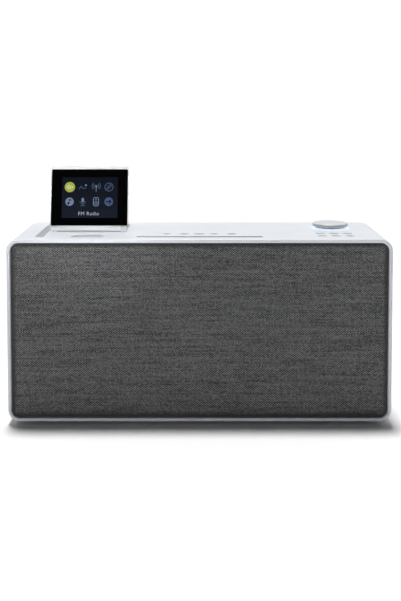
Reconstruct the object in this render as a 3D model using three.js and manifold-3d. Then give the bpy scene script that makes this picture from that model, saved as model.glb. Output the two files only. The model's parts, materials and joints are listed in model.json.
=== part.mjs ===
// A mini hifi system: a long, low moulded cabinet with a cloth-covered front, a flip-up colour
// display, a vertical CD slot, a row of transport buttons, a control knob standing over a light
// ring, and a group of six keys. Millimetres, +Z up, the front looks along -Y, +X is to the
// right of someone facing it. The origin is the middle of the footprint, on the table.

import * as THREE from "three";
import { mergeVertices } from "three/addons/utils/BufferGeometryUtils.js";
import Module from "manifold-3d";

const wasm = await Module();
wasm.setup();

// ---------------------------------------------------------------------------------------------
// Driving dimensions
// ---------------------------------------------------------------------------------------------

const gap = 0.3; // between two pieces that touch
const through = 1; // how far a cutting tool runs past what it cuts
const cabinet = { width: 420, depth: 130, height: 201, corner: 13, wall: 4 };
const foot = { height: 3, radius: 9, chamfer: 0.8, insetX: 30, insetY: 18 };

// Layers of the front, each as its distance behind the cabinet's front edge.
// The cloth stops short of the cabinet all round, and the black frame shows in that gap.
const cloth = { front: 2.5, thickness: 0.8, inset: 1.2 };
const frame = { front: 3.6, thickness: 4, rim: 9, rib: 3, columns: 10, rows: 2 };
const baffle = { front: 8.4, thickness: 4 };
const rearPanel = { front: 124, thickness: 3 };

// The display's well in the top, and the finger scoop in its floor.
const well = { left: -182, right: -84.2, front: 16, back: 113.5, depth: 6.8, walls: 3.5, floor: 15 };
const scoop = { x: -129.5, y: 50, halfWidth: 18.5, halfLength: 34, depth: 5.6 };

// The display, in its own frame: the hinge axis is at the origin and the module stands along +Z.
const display = {
  centre: -132,
  width: 93.6,
  thickness: 6.2,
  length: 75.6,
  corner: 3.6,
  plateBottom: 3.5,
  backWall: 1.8,
  lean: 12.7,
  hingeBehindFront: 100,
  hingeBelowTop: 3.3,
};
const knuckle = { inset: 1.5, width: 7.8, radius: 3, pin: 1.1, bore: 1.4, pinLength: 13, pinRoom: 6 };
const screen = { width: 91.2, bottom: 4.3, top: 70.3, thickness: 1, setBack: 0.1 };
const panel = { width: 72, bottom: 9, top: 65, thickness: 1.6 };
const displayBoard = { width: 80, bottom: 8, top: 66, thickness: 0.8 };

// The CD loader. The disc stands upright and goes in through the slot.
const slot = { length: 140, width: 5.5, behindFront: 19 };
const disc = { radius: 60, centreBelowTop: 85 };
const loader = { halfWidth: 70, bottom: 40, gapEachSide: 4, plate: 1.6, guideTop: 9, plateTop: 8 };
const roller = {
  belowTop: 18,
  behindPlate: 2.8,
  endRadius: 5,
  waistRadius: 4,
  halfLength: 60,
  pin: 1.4,
  pinHalfLength: 67,
};
const ear = { inner: 64, outer: 66, reach: 4, halfHeight: 5, bore: 1.8 };
const notch = { halfWidth: 62, belowRoller: 8 };
const rail = { x: 18, radius: 1.5, behindPlate: 4.4, bore: 1.8, post: 4, postHalfWidth: 3, pastSled: 2 };
const sled = {
  travel: 33,
  lensBelowSpindle: 25,
  halfWidth: 23,
  halfHeight: 10,
  behindPlate: 1.4,
  behindRail: 3,
  lens: 4,
  lensGap: 2.6,
};
const spindle = {
  boss: 7.4,
  bossHalf: 1.4,
  table: 14,
  tableBack: 3.2,
  neck: 5,
  neckBack: 6.2,
  motor: 12,
  motorBack: 11,
  bore: 8,
};

// Controls on the top.
const transport = { x: -0.8, behindFront: 37.6, offsets: [-36.8, -16.5, 0, 16.5, 36.8] };
const keys = { x: 151.5, behindFront: 32.5, pitchX: 15.5, pitchY: 17 };
const button = {
  radius: 4.7,
  middleRadius: 5.7,
  clearance: 0.45,
  sunk: 0.3,
  chamfer: 0.5,
  flange: 1.3,
  flangeThickness: 1.2,
  stem: 1.6,
  stemLength: 3,
};
const switches = { belowTop: 11, board: 1.6, half: 3, height: 1.2 };
const knob = {
  x: 153,
  behindFront: 83,
  radius: 20.7,
  hub: 1.2,
  hubWall: 2.4,
  lift: 2,
  height: 4.5,
  top: 1.5,
  edge: 0.7,
};
const ring = { inner: 18.2, outer: 22.4, depth: 1.7, proud: 0.15, chamfer: 0.3 };
const encoder = {
  shaft: 3,
  shaftBottom: 18,
  body: 12,
  top: 4.3,
  bottom: 22,
  collar: 4.6,
  collarHeight: 6,
  plunger: 3.8,
  plungerRoomTop: 16.5,
  plungerLength: 3.1,
};

// Drive units. Depths are behind the baffle's back face.
const woofer = {
  x: 135,
  z: 62,
  hole: 43.3,
  flange: 48,
  flangeThickness: 2,
  opening: 40.2,
  wall: 1.6,
  waist: 30,
  waistDepth: 24,
  depth: 27,
  seatInner: 17,
  seatThickness: 2,
};
const magnet = { radius: 32, front: 27.3, back: 45, pole: 12.4, slotOuter: 15, slotDepth: 41 };
const coil = { inner: 13.2, outer: 14.2, front: 15, back: 34 };
const cone = { radius: 38.2, paper: 1.2, roll: 1.9, neck: 12.8, capRadius: 7, capFront: 8.4 };
const tweeter = {
  x: 135,
  z: 150,
  hole: 20,
  flange: 26,
  plate: 2.4,
  dome: 13,
  domeFront: 3.4,
  faceFront: 2.4,
  magnet: 17,
  depth: 16,
};

// Back of the cabinet.
const port = {
  x: -105,
  z: 120,
  outer: 22,
  bore: 19.5,
  flare: 3,
  flareDepth: 6,
  lip: 26,
  lipThickness: 1.5,
  lipEdge: 0.8,
  length: 49,
};
const inlet = {
  x: 150,
  z: 40,
  width: 24,
  height: 16,
  depth: 19,
  flangeX: 3,
  flangeZ: 2.5,
  flangeBack: 2,
  mouthWidth: 16.8,
  mouthHeight: 8.6,
  mouthDepth: 11,
  pin: 1.2,
  pinOffset: 4.3,
  pinShort: 1.5,
};
const jack = { x: 20, z: 40, half: 6, bodyBack: 3.4, barrel: 4, bore: 1.8, depth: 12, proud: 1.2 };
const usb = {
  x: 49,
  z: 40,
  halfWidth: 7.2,
  halfHeight: 3.5,
  wall: 1,
  depth: 11,
  proud: 0.4,
  tongueHalf: 5.4,
  tongueLow: 0.2,
  tongueHigh: 1.8,
};

// Electronics.
const board = { left: -62, right: 78, bottom: 18, top: 108, front: 110, thickness: 1.6 };
const heatsink = { left: -50, width: 50, bottom: 40, top: 90, base: 3, depth: 18, fin: 2, fins: 7 };
const supply = { left: 100, right: 190, front: 68, back: 104, aboveFloor: 5, board: 1.6 };
const transformer = { left: 108, right: 138, front: 72, back: 98, height: 26 };
const capacitor = { radius: 7, height: 28, behindFront: 86, xs: [154, 174] };

// The antenna: its tubes' radii and the wire's, the length of a section, and how much shorter
// each tube starts than the one round it.
const antenna = {
  x: 165,
  z: 186,
  clearance: 0.7,
  tubes: [3, 2.2, 1.4],
  wire: 0.65,
  wall: 0.5,
  section: 150,
  stagger: 2,
  wireShort: 8,
  tip: 5,
  base: 6.5,
  knuckle: 3.2,
  ear: 1.6,
  tongue: 1.9,
  tongueRadius: 2.6,
  crossPin: 0.9,
  eye: 1.2,
};

// ---------------------------------------------------------------------------------------------
// Values worked out from them
// ---------------------------------------------------------------------------------------------

const rodRadius = antenna.tubes[0];
const antennaAxis = cabinet.depth + rodRadius + antenna.clearance; // behind the front edge
const overallDepth = antennaAxis + antenna.knuckle;
const frontY = -overallDepth / 2;
const topZ = foot.height + cabinet.height;
const innerWidth = cabinet.width - 2 * cabinet.wall;
const innerHeight = cabinet.height - 2 * cabinet.wall;
const innerCorner = cabinet.corner - cabinet.wall;
const middleZ = foot.height + cabinet.height / 2;
const degrees = Math.PI / 180;
const discZ = topZ - disc.centreBelowTop;
const glassFront = screen.setBack - display.thickness / 2;

// ---------------------------------------------------------------------------------------------
// Materials
// ---------------------------------------------------------------------------------------------

function material(color, roughness, metalness = 0) {
  return new THREE.MeshStandardMaterial({ color, roughness, metalness });
}

const whitePlastic = material(0xe9ecf2, 0.4);
const keyPlastic = material(0xd9dde5, 0.45);
const knobMetal = material(0xb9c2cb, 0.35, 0.6);
const lightGuide = material(0xbfdfff, 0.3);
const clothGrey = material(0x4a4b4d, 0.95);
const blackPlastic = material(0x202124, 0.6);
const darkBoard = material(0x2b2723, 0.8);
const blackGlass = material(0x05060a, 0.05);
const lcdBlue = material(0x16202e, 0.25);
const circuitGreen = material(0x1f5a3a, 0.5);
const steel = material(0xb4b7ba, 0.35, 1);
const chrome = material(0xd6d8da, 0.12, 1);
const heatsinkMetal = material(0x8f9498, 0.45, 1);
const magnetIron = material(0x3b3c3e, 0.6, 0.5);
const paperCone = material(0x1a1a1c, 0.85);
const rubber = material(0x18181a, 0.9);

// ---------------------------------------------------------------------------------------------
// Shape tools
// ---------------------------------------------------------------------------------------------

function behindFront(distance) {
  return frontY + distance;
}

function belowTop(distance) {
  return topZ - distance;
}

const hingeAt = [
  display.centre,
  behindFront(display.hingeBehindFront),
  belowTop(display.hingeBelowTop),
];

// A geometry as a closed manifold solid.
function solidOf(geometry) {
  const plain = geometry.clone();
  plain.deleteAttribute("normal");
  plain.deleteAttribute("uv");
  const merged = mergeVertices(plain, 1e-4);
  return new wasm.Manifold(
    new wasm.Mesh({
      numProp: 3,
      vertProperties: merged.attributes.position.array,
      triVerts: new Uint32Array(merged.index.array),
    }),
  );
}

function geometryOf(body) {
  const mesh = body.getMesh();
  const geometry = new THREE.BufferGeometry();
  geometry.setAttribute("position", new THREE.BufferAttribute(mesh.vertProperties, 3));
  geometry.setIndex(new THREE.BufferAttribute(mesh.triVerts, 1));
  geometry.computeVertexNormals();
  return geometry;
}

function join(...parts) {
  return geometryOf(parts.map(solidOf).reduce((all, next) => all.add(next)));
}

function cut(base, ...tools) {
  return geometryOf(tools.map(solidOf).reduce((left, tool) => left.subtract(tool), solidOf(base)));
}

function common(a, b) {
  return geometryOf(solidOf(a).intersect(solidOf(b)));
}

// A box between two values on each axis.
function block([x0, x1], [y0, y1], [z0, z1]) {
  const geometry = new THREE.BoxGeometry(x1 - x0, y1 - y0, z1 - z0);
  return geometry.translate((x0 + x1) / 2, (y0 + y1) / 2, (z0 + z1) / 2);
}

// A closed rectangle with round corners, centred on a point.
function roundedRectangle(width, height, radius, [cx, cy] = [0, 0]) {
  const x = width / 2 - radius;
  const y = height / 2 - radius;
  const shape = new THREE.Shape();
  shape.absarc(cx + x, cy + y, radius, 0, Math.PI / 2);
  shape.absarc(cx - x, cy + y, radius, Math.PI / 2, Math.PI);
  shape.absarc(cx - x, cy - y, radius, Math.PI, Math.PI * 1.5);
  shape.absarc(cx + x, cy - y, radius, Math.PI * 1.5, Math.PI * 2);
  shape.closePath();
  return shape;
}

// An outline in X and Z, run along Y.
function alongY(shape, y0, y1, curveSegments = 6) {
  const options = { depth: y1 - y0, bevelEnabled: false, curveSegments };
  const geometry = new THREE.ExtrudeGeometry(shape, options);
  return geometry.rotateX(Math.PI / 2).translate(0, y1, 0);
}

// A profile of [radius, distance along the axis] points, turned about an axis through a point.
// It runs from the axis at the low end, outwards, and back to the axis at the high end.
function turned(profile, axis, [x, y, z], segments = 24) {
  const points = profile.map(([radius, along]) => new THREE.Vector2(radius, along));
  const geometry = new THREE.LatheGeometry(points, segments);
  if (axis === "z") geometry.rotateX(Math.PI / 2);
  if (axis === "x") geometry.rotateZ(-Math.PI / 2);
  return geometry.translate(x, y, z);
}

function rod(radius, low, high, axis, at, segments = 24) {
  const profile = [
    [0, low],
    [radius, low],
    [radius, high],
    [0, high],
  ];
  return turned(profile, axis, at, segments);
}

const hifi = new THREE.Group();
hifi.name = "mini_hifi_system";

function piece(name, geometry, look, parent = hifi) {
  const mesh = new THREE.Mesh(geometry, look);
  mesh.name = name;
  parent.add(mesh);
  return mesh;
}

// ---------------------------------------------------------------------------------------------
// Cabinet, feet and front
// ---------------------------------------------------------------------------------------------

function buttonPlaces() {
  const transportPlaces = transport.offsets.map((offset, i) => ({
    x: transport.x + offset,
    y: behindFront(transport.behindFront),
    radius: i === 2 ? button.middleRadius : button.radius,
    name: ["previous", "stop", "play_pause", "next", "eject"][i] + "_button",
  }));
  const keyNames = ["standby", "source", "menu", "back", "preset", "info"];
  const keyPlaces = keyNames.map((name, i) => ({
    x: keys.x + ((i % 3) - 1) * keys.pitchX,
    y: behindFront(keys.behindFront + (Math.floor(i / 3) - 0.5) * keys.pitchY),
    radius: button.radius,
    name: name + "_key",
  }));
  return [...transportPlaces, ...keyPlaces];
}

// The finger scoop is a bowl with a soft rim and a steep wall, oval from above. Its profile is
// given as shares of its half width and of its depth, and only what lies behind the well's front
// wall is cut.
function fingerScoop() {
  const bowl = [
    [0, -1],
    [0.66, -0.98],
    [0.82, -0.88],
    [0.9, -0.68],
    [0.93, -0.4],
    [0.96, -0.16],
    [1, 0],
    [1, 0.1],
    [0, 0.1],
  ];
  const ball = turned(bowl, "z", [0, 0, 0], 28);
  ball.scale(scoop.halfWidth, scoop.halfLength, scoop.depth);
  ball.translate(scoop.x, behindFront(scoop.y), belowTop(well.depth));
  const room = block(
    [scoop.x - scoop.halfWidth, scoop.x + scoop.halfWidth],
    [behindFront(well.front), behindFront(well.back)],
    [belowTop(well.floor), belowTop(well.depth - through)],
  );
  return common(ball, room);
}

function cabinetSleeve() {
  const outline = roundedRectangle(cabinet.width, cabinet.height, cabinet.corner, [0, middleZ]);
  outline.holes.push(roundedRectangle(innerWidth, innerHeight, innerCorner, [0, middleZ]));
  const tube = alongY(outline, frontY, behindFront(cabinet.depth));
  const wellBody = block(
    [well.left - well.walls, well.right + well.walls],
    [behindFront(well.front - well.walls), behindFront(well.back + well.walls)],
    [belowTop(well.floor), belowTop(cabinet.wall / 2)],
  );
  const wellRoom = block(
    [well.left, well.right],
    [behindFront(well.front), behindFront(well.back)],
    [belowTop(well.depth), belowTop(-through)],
  );
  const slotRoom = block(
    [-slot.length / 2, slot.length / 2],
    [behindFront(slot.behindFront - slot.width / 2), behindFront(slot.behindFront + slot.width / 2)],
    [belowTop(cabinet.wall + through), belowTop(-through)],
  );
  const holes = buttonPlaces().map(({ x, y, radius }) =>
    rod(radius + button.clearance, -cabinet.wall - through, through, "z", [x, y, topZ], 16),
  );
  const knobAt = [knob.x, behindFront(knob.behindFront), topZ];
  const groove = turned(
    [
      [ring.inner - gap, -ring.depth - gap],
      [ring.outer + gap, -ring.depth - gap],
      [ring.outer + gap, through],
      [ring.inner - gap, through],
      [ring.inner - gap, -ring.depth - gap],
    ],
    "z",
    knobAt,
    32,
  );
  const shaftHole = rod(encoder.shaft + 2 * gap, -cabinet.wall - through, through, "z", knobAt, 16);
  return cut(join(tube, wellBody), wellRoom, fingerScoop(), slotRoom, ...holes, groove, shaftHole);
}

function feet() {
  for (const [side, x] of [["left", -1], ["right", 1]]) {
    for (const [end, y] of [["front", foot.insetY], ["rear", cabinet.depth - foot.insetY]]) {
      const at = [x * (cabinet.width / 2 - foot.insetX), behindFront(y), 0];
      const profile = [
        [0, 0],
        [foot.radius - foot.chamfer, 0],
        [foot.radius, foot.chamfer],
        [foot.radius, foot.height - gap],
        [0, foot.height - gap],
      ];
      piece(`foot_${end}_${side}`, turned(profile, "z", at, 16), rubber);
    }
  }
}

// The lattice that the cloth is stretched over.
function grilleFrame() {
  const stepX = (innerWidth - 2 * frame.rim + frame.rib) / frame.columns;
  const stepZ = (innerHeight - 2 * frame.rim + frame.rib) / frame.rows;
  const halfX = (stepX - frame.rib) / 2;
  const halfZ = (stepZ - frame.rib) / 2;
  const depth = [
    behindFront(frame.front - through),
    behindFront(frame.front + frame.thickness + through),
  ];
  const windows = [];
  for (let i = 0; i < frame.columns; i++) {
    for (let j = 0; j < frame.rows; j++) {
      const x = (i - (frame.columns - 1) / 2) * stepX;
      const z = middleZ + (j - (frame.rows - 1) / 2) * stepZ;
      windows.push(block([x - halfX, x + halfX], depth, [z - halfZ, z + halfZ]));
    }
  }
  return cut(innerPlate(frame.front, frame.thickness), ...windows);
}

// A plate that fills the cabinet's inside, with a clearance all round.
function innerPlate(front, thickness, clearance = gap) {
  const outline = roundedRectangle(
    innerWidth - 2 * clearance,
    innerHeight - 2 * clearance,
    innerCorner - clearance,
    [0, middleZ],
  );
  return alongY(outline, behindFront(front), behindFront(front + thickness));
}

function speakerBaffle() {
  const depth = [baffle.front - through, baffle.front + baffle.thickness + through];
  const holes = [-1, 1].flatMap((side) => [
    rod(woofer.hole, ...depth, "y", [side * woofer.x, frontY, woofer.z], 24),
    rod(tweeter.hole, ...depth, "y", [side * tweeter.x, frontY, tweeter.z], 20),
  ]);
  return cut(innerPlate(baffle.front, baffle.thickness), ...holes);
}

// ---------------------------------------------------------------------------------------------
// Flip-up display, built upright about its hinge and then leaned back
// ---------------------------------------------------------------------------------------------

function displayHousing() {
  const half = display.width / 2;
  const face = display.thickness / 2;
  const barrelHalf = half - knuckle.inset - knuckle.width - gap;
  const cornerZ = display.length - display.corner;
  const outline = new THREE.Shape();
  outline.moveTo(-half, display.plateBottom);
  outline.lineTo(half, display.plateBottom);
  outline.absarc(half - display.corner, cornerZ, display.corner, 0, Math.PI / 2);
  outline.absarc(display.corner - half, cornerZ, display.corner, Math.PI / 2, Math.PI);
  outline.closePath();
  const plate = alongY(outline, -face, face, 5);
  const neck = block([-barrelHalf, barrelHalf], [-face, face], [0, display.plateBottom + through]);
  const barrel = rod(face, -barrelHalf, barrelHalf, "x", [0, 0, 0], 20);
  const glassBack = glassFront + screen.thickness + gap;
  const glassRoom = block(
    [-screen.width / 2 - gap, screen.width / 2 + gap],
    [-face - through, glassBack],
    [screen.bottom - gap, screen.top + gap],
  );
  const boardRoom = block(
    [-displayBoard.width / 2 - gap, displayBoard.width / 2 + gap],
    [glassBack - through, face - display.backWall],
    [displayBoard.bottom - gap, displayBoard.top + gap],
  );
  const pinRooms = [-1, 1].map((side) => {
    const ends = [side * (barrelHalf - knuckle.pinRoom), side * (barrelHalf + through)];
    return block(
      [Math.min(...ends), Math.max(...ends)],
      [-knuckle.bore, knuckle.bore],
      [-knuckle.bore, knuckle.bore],
    );
  });
  return cut(join(plate, neck, barrel), glassRoom, boardRoom, ...pinRooms);
}

// A flat layer of the display: its width, its front, and its low and high ends.
function displayLayer({ width, bottom, top, thickness }, front) {
  return block([-width / 2, width / 2], [front, front + thickness], [bottom, top]);
}

function flipUpDisplay() {
  const module = new THREE.Group();
  module.position.set(...hingeAt);
  module.rotation.x = -display.lean * degrees;
  hifi.add(module);

  const panelFront = glassFront + screen.thickness + gap;
  const boardFront = panelFront + panel.thickness + gap;
  piece("display_housing", displayHousing(), whitePlastic, module);
  piece("display_glass", displayLayer(screen, glassFront), blackGlass, module);
  piece("display_lcd", displayLayer(panel, panelFront), lcdBlue, module);
  piece("display_board", displayLayer(displayBoard, boardFront), circuitGreen, module);
}

function displayHinge() {
  const low = gap - (well.depth - display.hingeBelowTop);
  const outer = display.width / 2 - knuckle.inset;
  for (const [side, sign] of [["left", -1], ["right", 1]]) {
    const spanTo = (inner) => (sign < 0 ? [-outer, -inner] : [inner, outer]);
    const span = spanTo(outer - knuckle.width);
    const barrel = rod(knuckle.radius, ...span, "x", [0, 0, 0], 20);
    const stand = block(span, [-knuckle.radius, knuckle.radius], [low, 0]);
    const bore = rod(knuckle.bore, span[0] - through, span[1] + through, "x", [0, 0, 0], 16);
    const lug = cut(join(barrel, stand), bore);
    piece(`hinge_knuckle_${side}`, lug.translate(...hingeAt), whitePlastic);
    const pinSpan = spanTo(outer - knuckle.pinLength);
    piece(`hinge_pin_${side}`, rod(knuckle.pin, ...pinSpan, "x", hingeAt, 16), steel);
  }
}

// ---------------------------------------------------------------------------------------------
// Buttons, keys and knob
// ---------------------------------------------------------------------------------------------

// A cap that fills its hole, with a flange that holds it under the top and a stem for its switch.
function pushButton({ x, y, radius, name }) {
  const flangeTop = -cabinet.wall - gap;
  const flangeBottom = flangeTop - button.flangeThickness;
  const stemEnd = flangeBottom - button.stemLength;
  const profile = [
    [0, stemEnd],
    [button.stem, stemEnd],
    [button.stem, flangeBottom],
    [radius + button.flange, flangeBottom],
    [radius + button.flange, flangeTop],
    [radius, flangeTop],
    [radius, -button.sunk - button.chamfer],
    [radius - button.chamfer, -button.sunk],
    [0, -button.sunk],
  ];
  piece(name, turned(profile, "z", [x, y, topZ], 14), keyPlastic);
}

// A circuit board under a group of buttons, with a switch below each stem.
function switchBoard(name, places, margin) {
  const xs = places.map((place) => place.x);
  const ys = places.map((place) => place.y);
  const high = belowTop(switches.belowTop);
  const plate = block(
    [Math.min(...xs) - margin, Math.max(...xs) + margin],
    [Math.min(...ys) - margin, Math.max(...ys) + margin],
    [high - switches.board, high],
  );
  const domes = places.map(({ x, y }) =>
    block(
      [x - switches.half, x + switches.half],
      [y - switches.half, y + switches.half],
      [high - switches.board / 2, high + switches.height],
    ),
  );
  piece(name, join(plate, ...domes), circuitGreen);
}

function controlKnob() {
  const at = [knob.x, behindFront(knob.behindFront), topZ];
  const high = knob.lift + knob.height;
  const bore = encoder.shaft + gap;
  const hub = bore + knob.hubWall;
  const cap = [
    [bore, knob.hub],
    [hub, knob.hub],
    [hub, knob.lift],
    [knob.radius - knob.edge, knob.lift],
    [knob.radius, knob.lift + knob.edge],
    [knob.radius, high - knob.edge],
    [knob.radius - knob.edge, high],
    [0, high],
    [0, high - knob.top],
    [bore, high - knob.top],
    [bore, knob.hub],
  ];
  piece("control_knob", turned(cap, "z", at, 32), knobMetal);
  const shaftTop = high - knob.top - gap;
  piece("encoder_shaft", rod(encoder.shaft, -encoder.shaftBottom, shaftTop, "z", at, 16), steel);
  const plungerTop = -encoder.shaftBottom - gap;
  const plunger = rod(encoder.plunger, plungerTop - encoder.plungerLength, plungerTop, "z", at, 16);
  piece("encoder_plunger", plunger, blackPlastic);

  // The housing: a square body with a collar round the shaft, and a wider room for the plunger.
  const half = encoder.body / 2;
  const shoulder = encoder.top + encoder.collarHeight;
  const housing = join(
    block(
      [knob.x - half, knob.x + half],
      [at[1] - half, at[1] + half],
      [belowTop(encoder.bottom), belowTop(shoulder)],
    ),
    rod(encoder.collar, -shoulder - through, -encoder.top, "z", at, 16),
  );
  const step = -encoder.plungerRoomTop;
  const shaftRoom = rod(bore, step - through, through, "z", at, 16);
  const plungerRoom = rod(encoder.plunger + gap, -encoder.bottom - through, step, "z", at, 16);
  piece("encoder_body", cut(housing, shaftRoom, plungerRoom), blackPlastic);

  const band = [
    [ring.inner, -ring.depth],
    [ring.outer, -ring.depth],
    [ring.outer, ring.proud - ring.chamfer],
    [ring.outer - ring.chamfer, ring.proud],
    [ring.inner, ring.proud],
    [ring.inner, -ring.depth],
  ];
  piece("light_ring", turned(band, "z", at, 32), lightGuide);
}

// ---------------------------------------------------------------------------------------------
// CD loader
// ---------------------------------------------------------------------------------------------

function cdLoader() {
  const discY = behindFront(slot.behindFront);
  const guideBack = discY - loader.gapEachSide;
  const plateFront = discY + loader.gapEachSide;
  const plateBack = plateFront + loader.plate;
  const across = [-loader.halfWidth, loader.halfWidth];
  const guideSpan = [loader.bottom, belowTop(loader.guideTop)];
  const guide = block(across, [guideBack - loader.plate, guideBack], guideSpan);
  piece("cd_guide_plate", guide, steel);

  const rollerAt = [0, plateFront + roller.behindPlate, belowTop(roller.belowTop)];
  const railY = plateBack + rail.behindPlate;
  const lensZ = discZ - sled.lensBelowSpindle;
  cdChassis({ across, plateFront, plateBack, rollerAt, railY, lensZ });

  // The feed roller is waisted, so that it only touches the disc's edges.
  const feed = [
    [0, -roller.pinHalfLength],
    [roller.pin, -roller.pinHalfLength],
    [roller.pin, -roller.halfLength],
    [roller.endRadius, -roller.halfLength],
    [roller.waistRadius, 0],
    [roller.endRadius, roller.halfLength],
    [roller.pin, roller.halfLength],
    [roller.pin, roller.pinHalfLength],
    [0, roller.pinHalfLength],
  ];
  piece("cd_roller", turned(feed, "x", rollerAt, 12), rubber);

  // Centring boss, turntable, neck and motor cup in one turned piece.
  const hub = [
    [0, -spindle.bossHalf],
    [spindle.boss - spindle.bossHalf, -spindle.bossHalf],
    [spindle.boss, 0],
    [spindle.boss, spindle.bossHalf],
    [spindle.table, spindle.bossHalf],
    [spindle.table, spindle.tableBack],
    [spindle.neck, spindle.tableBack],
    [spindle.neck, spindle.neckBack],
    [spindle.motor, spindle.neckBack],
    [spindle.motor, spindle.motorBack],
    [0, spindle.motorBack],
  ];
  piece("cd_spindle", turned(hub, "y", [0, discY, discZ], 16), steel);

  const carriage = join(
    block(
      [-sled.halfWidth, sled.halfWidth],
      [plateBack + sled.behindPlate, railY + sled.behindRail],
      [lensZ - sled.halfHeight, lensZ + sled.halfHeight],
    ),
    rod(sled.lens, discY + sled.lensGap, plateBack + sled.behindPlate + through, "y", [0, 0, lensZ], 16),
  );
  const reach = [lensZ - sled.halfHeight - through, lensZ + sled.halfHeight + through];
  const bores = [-1, 1].map((side) =>
    rod(rail.bore, ...reach, "z", [side * rail.x, railY, 0], 12),
  );
  piece("cd_pickup", cut(carriage, ...bores), blackPlastic);
}

// The chassis plate, with a notch for the roller, ears that carry it, and the sled's two rails.
function cdChassis({ across, plateFront, plateBack, rollerAt, railY, lensZ }) {
  const [, rollerY, rollerZ] = rollerAt;
  const overlap = plateBack - loader.plate / 3;
  const sledEnd = sled.halfHeight + rail.pastSled;
  const railLow = lensZ - sled.travel - sledEnd;
  const railHigh = lensZ + sledEnd;
  const plate = block(across, [plateFront, plateBack], [loader.bottom, belowTop(loader.plateTop)]);
  const ears = [-1, 1].map((side) => {
    const ends = [side * ear.inner, side * ear.outer];
    return block(
      [Math.min(...ends), Math.max(...ends)],
      [overlap, rollerY + ear.reach],
      [rollerZ - ear.halfHeight, rollerZ + ear.halfHeight],
    );
  });
  const rails = [-1, 1].flatMap((side) => [
    rod(
      rail.radius,
      railLow - rail.post / 2,
      railHigh + rail.post / 2,
      "z",
      [side * rail.x, railY, 0],
      12,
    ),
    ...[railLow - rail.post, railHigh].map((low) =>
      block(
        [side * rail.x - rail.postHalfWidth, side * rail.x + rail.postHalfWidth],
        [overlap, railY + rail.postHalfWidth],
        [low, low + rail.post],
      ),
    ),
  ]);
  const cutThrough = [plateFront - through, plateBack + through];
  const rollerNotch = block(
    [-notch.halfWidth, notch.halfWidth],
    cutThrough,
    [rollerZ - notch.belowRoller, topZ],
  );
  const earBores = rod(ear.bore, -loader.halfWidth, loader.halfWidth, "x", [0, rollerY, rollerZ], 12);
  const spindleHole = rod(spindle.bore, ...cutThrough, "y", [0, 0, discZ], 16);
  const lensHalf = sled.lens * 1.5;
  const lensSlot = block(
    [-lensHalf, lensHalf],
    cutThrough,
    [lensZ - sled.travel - lensHalf, lensZ + lensHalf],
  );
  const chassis = cut(join(plate, ...ears, ...rails), rollerNotch, earBores, spindleHole, lensSlot);
  piece("cd_chassis", chassis, steel);
}

// ---------------------------------------------------------------------------------------------
// Drive units
// ---------------------------------------------------------------------------------------------

// Open basket: a flange, a tapering wall with windows, and a ring that carries the magnet.
function wooferBasket(at) {
  const basket = [
    [woofer.opening, 0],
    [woofer.flange, 0],
    [woofer.flange, woofer.flangeThickness],
    [woofer.opening + woofer.wall, woofer.flangeThickness + 0.6],
    [woofer.waist, woofer.waistDepth],
    [woofer.waist, woofer.depth],
    [woofer.seatInner, woofer.depth],
    [woofer.seatInner, woofer.depth - woofer.seatThickness],
    [woofer.waist - 1.5 * woofer.wall, woofer.depth - woofer.seatThickness],
    [woofer.waist - 1.5 * woofer.wall, woofer.waistDepth - 0.4],
    [woofer.opening, woofer.flangeThickness + 1],
    [woofer.opening, 0],
  ];
  const windows = [0, 1, 2].map((i) => {
    const bar = block([-60, 60], [5, 22], [-8, 8]);
    return bar.rotateY(i * 60 * degrees).translate(...at);
  });
  return cut(turned(basket, "y", at, 20), ...windows);
}

// Ring magnet and pole piece, with the slot that the voice coil works in.
function wooferMagnet(at) {
  const profile = [
    [0, magnet.front],
    [magnet.pole, magnet.front],
    [magnet.pole, magnet.slotDepth],
    [magnet.slotOuter, magnet.slotDepth],
    [magnet.slotOuter, magnet.front],
    [magnet.radius, magnet.front],
    [magnet.radius, magnet.back],
    [0, magnet.back],
  ];
  return turned(profile, "y", at, 20);
}

// Roll surround, cone, dust cap and voice coil former, which move together. The front face runs
// outwards and the back face comes back in, one paper's thickness behind it.
function wooferCone(at) {
  const { radius, paper, roll, neck, capRadius, capFront } = cone;
  const profile = [
    [0, capFront],
    [capRadius, capFront + 1],
    [neck, coil.front - 3],
    [radius - 8.4, paper + 0.2],
    [radius - 6.4, -paper],
    [radius - 3, -roll],
    [radius, 0.4],
    [radius, 0.4 + paper],
    [radius - 3, paper - roll],
    [radius - 6, 0],
    [radius - 8, 2 * paper + 0.2],
    [coil.outer, coil.front],
    [coil.outer, coil.back],
    [coil.inner, coil.back],
    [coil.inner, coil.front - 1],
    [capRadius, capFront + 2 * paper],
    [0, capFront + paper + 0.2],
  ];
  return turned(profile, "y", at, 20);
}

function wooferUnit(side, sign) {
  const at = [sign * woofer.x, behindFront(baffle.front + baffle.thickness + gap), woofer.z];
  piece(`woofer_basket_${side}`, wooferBasket(at), blackPlastic);
  piece(`woofer_magnet_${side}`, wooferMagnet(at), magnetIron);
  piece(`woofer_cone_${side}`, wooferCone(at), paperCone);
}

// Faceplate, dome and magnet in one.
function tweeterUnit(side, sign) {
  const at = [sign * tweeter.x, behindFront(baffle.front + baffle.thickness + gap), tweeter.z];
  const nose = tweeter.hole - 1;
  const unit = [
    [0, -tweeter.domeFront],
    [tweeter.dome * 0.55, 0.8 - tweeter.domeFront],
    [tweeter.dome, 0.4],
    [tweeter.dome + 1.5, -0.6],
    [nose, -tweeter.faceFront],
    [nose, 0],
    [tweeter.flange, 0],
    [tweeter.flange, tweeter.plate],
    [tweeter.magnet, tweeter.plate],
    [tweeter.magnet, tweeter.depth],
    [0, tweeter.depth],
  ];
  piece(`tweeter_${side}`, turned(unit, "y", at, 18), blackPlastic);
}

// ---------------------------------------------------------------------------------------------
// Back panel, sockets and electronics
// ---------------------------------------------------------------------------------------------

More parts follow.
